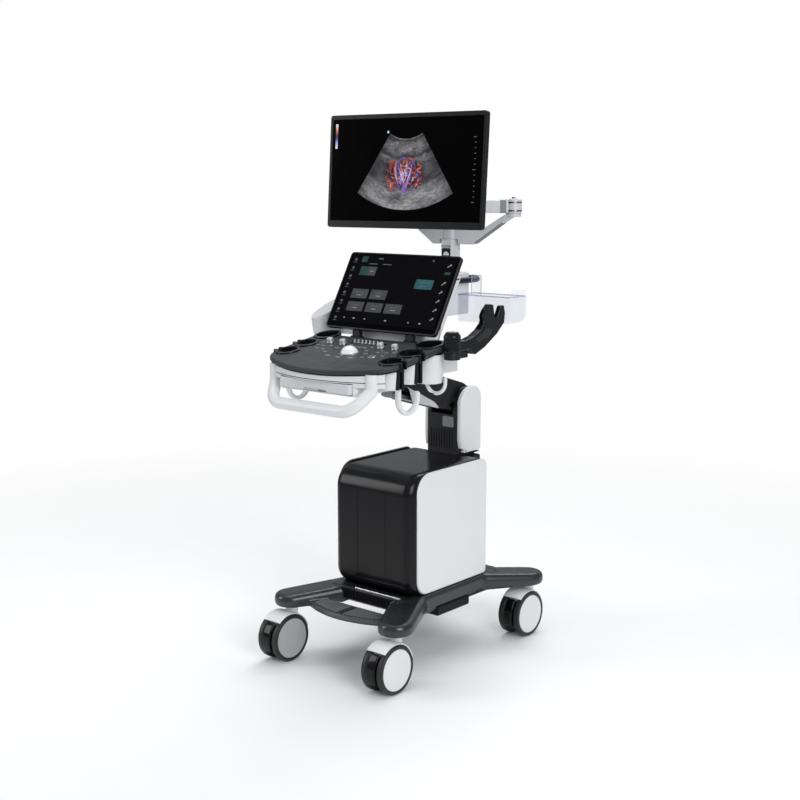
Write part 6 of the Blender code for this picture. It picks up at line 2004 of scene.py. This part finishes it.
# Vessels of the coloured flow, as (x, y, width) courses from the fan's apex in millimetres.
# Widths are drawn a little finer than written.
WIDTHS_PER_METRE = 1350
VESSELS = {
    "blue": (
        ((0, -230, 7.0), (-1, -214, 8.0), (-7, -196, 6.0), (-15, -178, 4.2), (-21, -160, 2.8),
         (-24, -148, 1.2)),
        ((1, -226, 6.0), (6, -206, 5.5), (15, -188, 4.0), (21, -170, 3.0), (22, -152, 1.6)),
        ((-12, -226, 2.0), (-22, -204, 3.4), (-27, -186, 2.2), (-26, -172, 0.8)),
        ((-22, -150, 1.8), (-12, -143, 2.8), (-2, -141, 2.0), (4, -146, 0.8)),
        ((10, -226, 2.6), (24, -214, 1.8), (34, -206, 0.6)),
        ((22, -148, 2.0), (28, -156, 2.6), (32, -166, 1.0)),
    ),
    "red": (
        ((-40, -228, 1.5), (-43, -216, 6.5), (-38, -205, 4.0), (-48, -206, 2.4), (-55, -208, 0.8)),
        ((-42, -184, 1.0), (-45, -170, 4.5), (-41, -156, 4.0), (-30, -148, 2.5), (-24, -150, 0.8)),
        ((-50, -160, 1.0), (-44, -149, 3.0), (-34, -146, 2.2), (-28, -152, 0.8)),
        ((4, -146, 1.4), (12, -142, 3.4), (24, -146, 3.0), (30, -152, 1.0)),
        ((32, -176, 1.0), (40, -170, 3.5), (50, -166, 2.6), (53, -160, 0.8)),
        ((26, -212, 1.0), (36, -206, 2.6), (46, -196, 2.4), (54, -188, 0.8)),
        ((38, -156, 0.8), (46, -160, 2.2), (52, -168, 1.0)),
        ((-34, -212, 0.8), (-31, -200, 2.4), (-34, -192, 0.8)),
    ),
    "orange": (
        ((-26, -196, 1.0), (-30, -176, 3.6), (-29, -160, 3.2), (-26, -148, 1.0)),
        ((0, -200, 1.4), (-6, -182, 4.6), (-11, -168, 3.2), (-13, -156, 1.0)),
        ((3, -196, 1.6), (5, -176, 4.6), (6, -160, 3.0), (6, -146, 1.0)),
        ((-44, -222, 0.8), (-43, -213, 2.6), (-41, -206, 0.8)),
        ((38, -172, 0.6), (44, -168, 1.5), (48, -166, 0.6)),
    ),
    "pale": (
        ((-1, -206, 1.0), (-8, -190, 2.6), (-14, -176, 1.4), (-18, -166, 0.5)),
        ((8, -200, 0.8), (14, -186, 1.8), (19, -172, 1.0), (21, -158, 0.5)),
        ((-20, -206, 0.5), (-25, -190, 1.4), (-27, -178, 0.5)),
    ),
}


def course_points(course):
    """Points of the picture for a course given from the fan's apex, in millimetres."""
    return [(FAN_APEX[0] + x / 1000, FAN_APEX[1] + y / 1000, w / WIDTHS_PER_METRE) for x, y, w in course]


def capillaries(draw, count, near, far, width):
    """Short wandering vessels in a ring about the middle of the flow."""
    courses = []
    for _ in range(count):
        angle = draw.uniform(0.0, 2.0 * math.pi)
        reach = draw.uniform(near, far)
        x = 1.06 * reach * math.cos(angle)
        y = -184.0 + 0.86 * reach * math.sin(angle)
        heading = draw.uniform(0.0, 2.0 * math.pi)
        size = draw.uniform(0.5, 1.0) * width
        course = [(x, y, 0.3 * size)]
        for k in range(3):
            x += 4.2 * math.cos(heading)
            y += 4.2 * math.sin(heading)
            heading += draw.uniform(-1.1, 1.1)
            course.append((x, y, size * (1.0, 0.8, 0.2)[k]))
        courses.append(tuple(course))
    return courses


def add_echo_picture():
    """The picture on the monitor: echo sector, coloured flow, colour scale, depth ticks."""
    m = screen_matrix()
    lift = 0.00015
    piece("echo_sector", moved(fan(lift, FAN_INNER, FAN_OUTER, FAN_HALF_ANGLE), m), tissue_material(),
          "monitor", flat=False)
    looks = {
        "blue": glow("flow_blue", (0.085, 0.11, 0.5), 1.0, 0.45),
        "red": glow("flow_red", (0.33, 0.05, 0.058), 1.0, 0.55),
        "orange": glow("flow_orange", (0.58, 0.2, 0.17), 1.0, 0.35),
        "pale": glow("flow_pale", (0.42, 0.46, 0.82), 1.0, 0.25),
    }
    draw = random.Random(11)
    shadow = [ribbon(course_points(course), lift + 0.00028 + 0.000004 * k)
              for k, course in enumerate(capillaries(draw, 46, 14, 50, 5.0))]
    piece("flow_deep", moved(joined(*shadow), m), glow("flow_deep", (0.06, 0.012, 0.026), 1.0, 0.6),
          "monitor", flat=False)
    fine = {"blue": (26, 4, 38, 2.8), "red": (60, 20, 50, 2.6), "orange": (22, 16, 47, 2.0),
            "pale": (16, 0, 30, 1.7)}
    for level, (tone, courses) in enumerate(VESSELS.items()):
        strips = []
        for k, course in enumerate(tuple(courses) + tuple(capillaries(draw, *fine[tone]))):
            strips.append(ribbon(course_points(course), lift + 0.0004 * (level + 1) + 0.000006 * k))
        piece("flow_" + tone, moved(joined(*strips), m), looks[tone], "monitor", flat=False)
    w, h = MONITOR_HALF
    left = -w + BEZEL_SIDE
    top = h - BEZEL_TOP
    bar = tile(m, (left + 0.0135, top - 0.044), (0.0072, 0.064), 0.0003, 0.0003)
    layer = bar.loops.layers.uv.new("beam")
    inverse = m.inverted()
    for face in bar.faces:
        for loop in face.loops:
            local = inverse @ loop.vert.co
            loop[layer].uv = (0.5, (local.y - (top - 0.076)) / 0.064)
    piece("echo_scale_bar", bar, scale_bar_material(), "monitor", flat=False)
    spot = patch(m, arc((-0.054, 0.1), 0.0034, 0, 345, 23), 0.0003)
    piece("echo_marker", spot, glow("echo_green", (0.35, 0.75, 0.62), 0.9), "monitor", flat=False)
    ticks = []
    for i in range(13):
        long = i % 6 == 0
        ticks.append(tile(m, (w - 0.03 - (0.002 if long else 0.0), 0.083 - 0.0135 * i),
                          (0.008 if long else 0.004, 0.0016), 0.0003, 0.0005))
    piece("echo_ticks", joined(*ticks), glow("echo_tick", (0.16, 0.17, 0.175), 0.8), "monitor", flat=False)


def add_monitor():
    piece("monitor_case", monitor_shell(), "monitor_black", "monitor", "monitor_shell",
          bevel=0.0003)
    pane = moved(slab(glass_outline(0.0003), "Y", SCREEN_Y + 0.0005, SCREEN_Y + 0.0027, 0.0, 0.0003, 2),
                 monitor_matrix())
    piece("monitor_pane", pane, "screen_black", "monitor", "monitor_glass")
    add_echo_picture()
    piece("yoke_head", monitor_yoke(), "pale_grey", "yoke", "monitor_yoke", bevel=0.0003)
    piece("arm_upper_cast", arm_upper(), "arm_grey", "upper_arm", "monitor_arm_upper")
    piece("arm_lower_cast", arm_lower(), "arm_grey", "lower_arm", "monitor_arm_lower")
    # mid grey strip under the raking leg: painted shade on its lower edge
    piece("arm_lower_shade_edge", leg_shade_strip(), "mid_grey", "lower_arm")
    add_elbow_details()
    post = slab(rounded_outline(-0.018, 0.018, 0.155, 0.197, 0.004, 6), "Z",
                1.0086, ARM_HUB.z - 0.0003, 0.001, 0.0)
    spigot = upright(ARM_HUB, 0.009, 1.09, 1.118)
    foot = disc((0.0, 0.176), 0.03, 1.006, 1.0115, 0.0012)
    recess = block((-0.015, 0.15, 1.02), (0.015, 0.1562, 1.076), 0.003, 0.0, "Y", 4)
    piece("post", cut(union(post, spigot, foot), recess), "pale_grey", "console", "monitor_post",
          bevel=0.0003)
    face = block((-0.0147, 0.1554, 1.0203), (0.0147, 0.158, 1.0757), 0.003, 0.0006, "Y", 4)
    piece("post_face", face, "black_gloss", "console")
    dome = turned([(0.0, 0.0), (0.0105, 0.0), (0.01, 0.004), (0.0072, 0.0078), (0.0036, 0.0098),
                   (0.0, 0.0104)], (0, 0, 0), "Z", 40)
    dome = moved(dome, Matrix.Translation((0.0, 0.1552, 1.056)) @ Matrix.Scale(0.2, 4, (0, 1, 0)))
    piece("post_dome", dome, "side_white", "console")
    bar = slab(rounded_outline(-0.016, 0.016, 0.1535, 0.1585, 0.0015, 3), "Z", 1.0775, 1.083, 0.001)
    piece("post_collar", bar, "dark_metal", "console")


# ---------------------------------------------------------------- hidden parts and build

def add_electronics():
    """Give the enclosed processing unit its own finish."""
    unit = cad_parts["electronics_module"]
    for place in unit.material_slots:
        place.material = look("dark_metal")


add_camera()
add_studio()
add_casters()
add_base()
add_cabinet()
add_column()
add_console()
add_touch_screen()
add_monitor()
add_electronics()
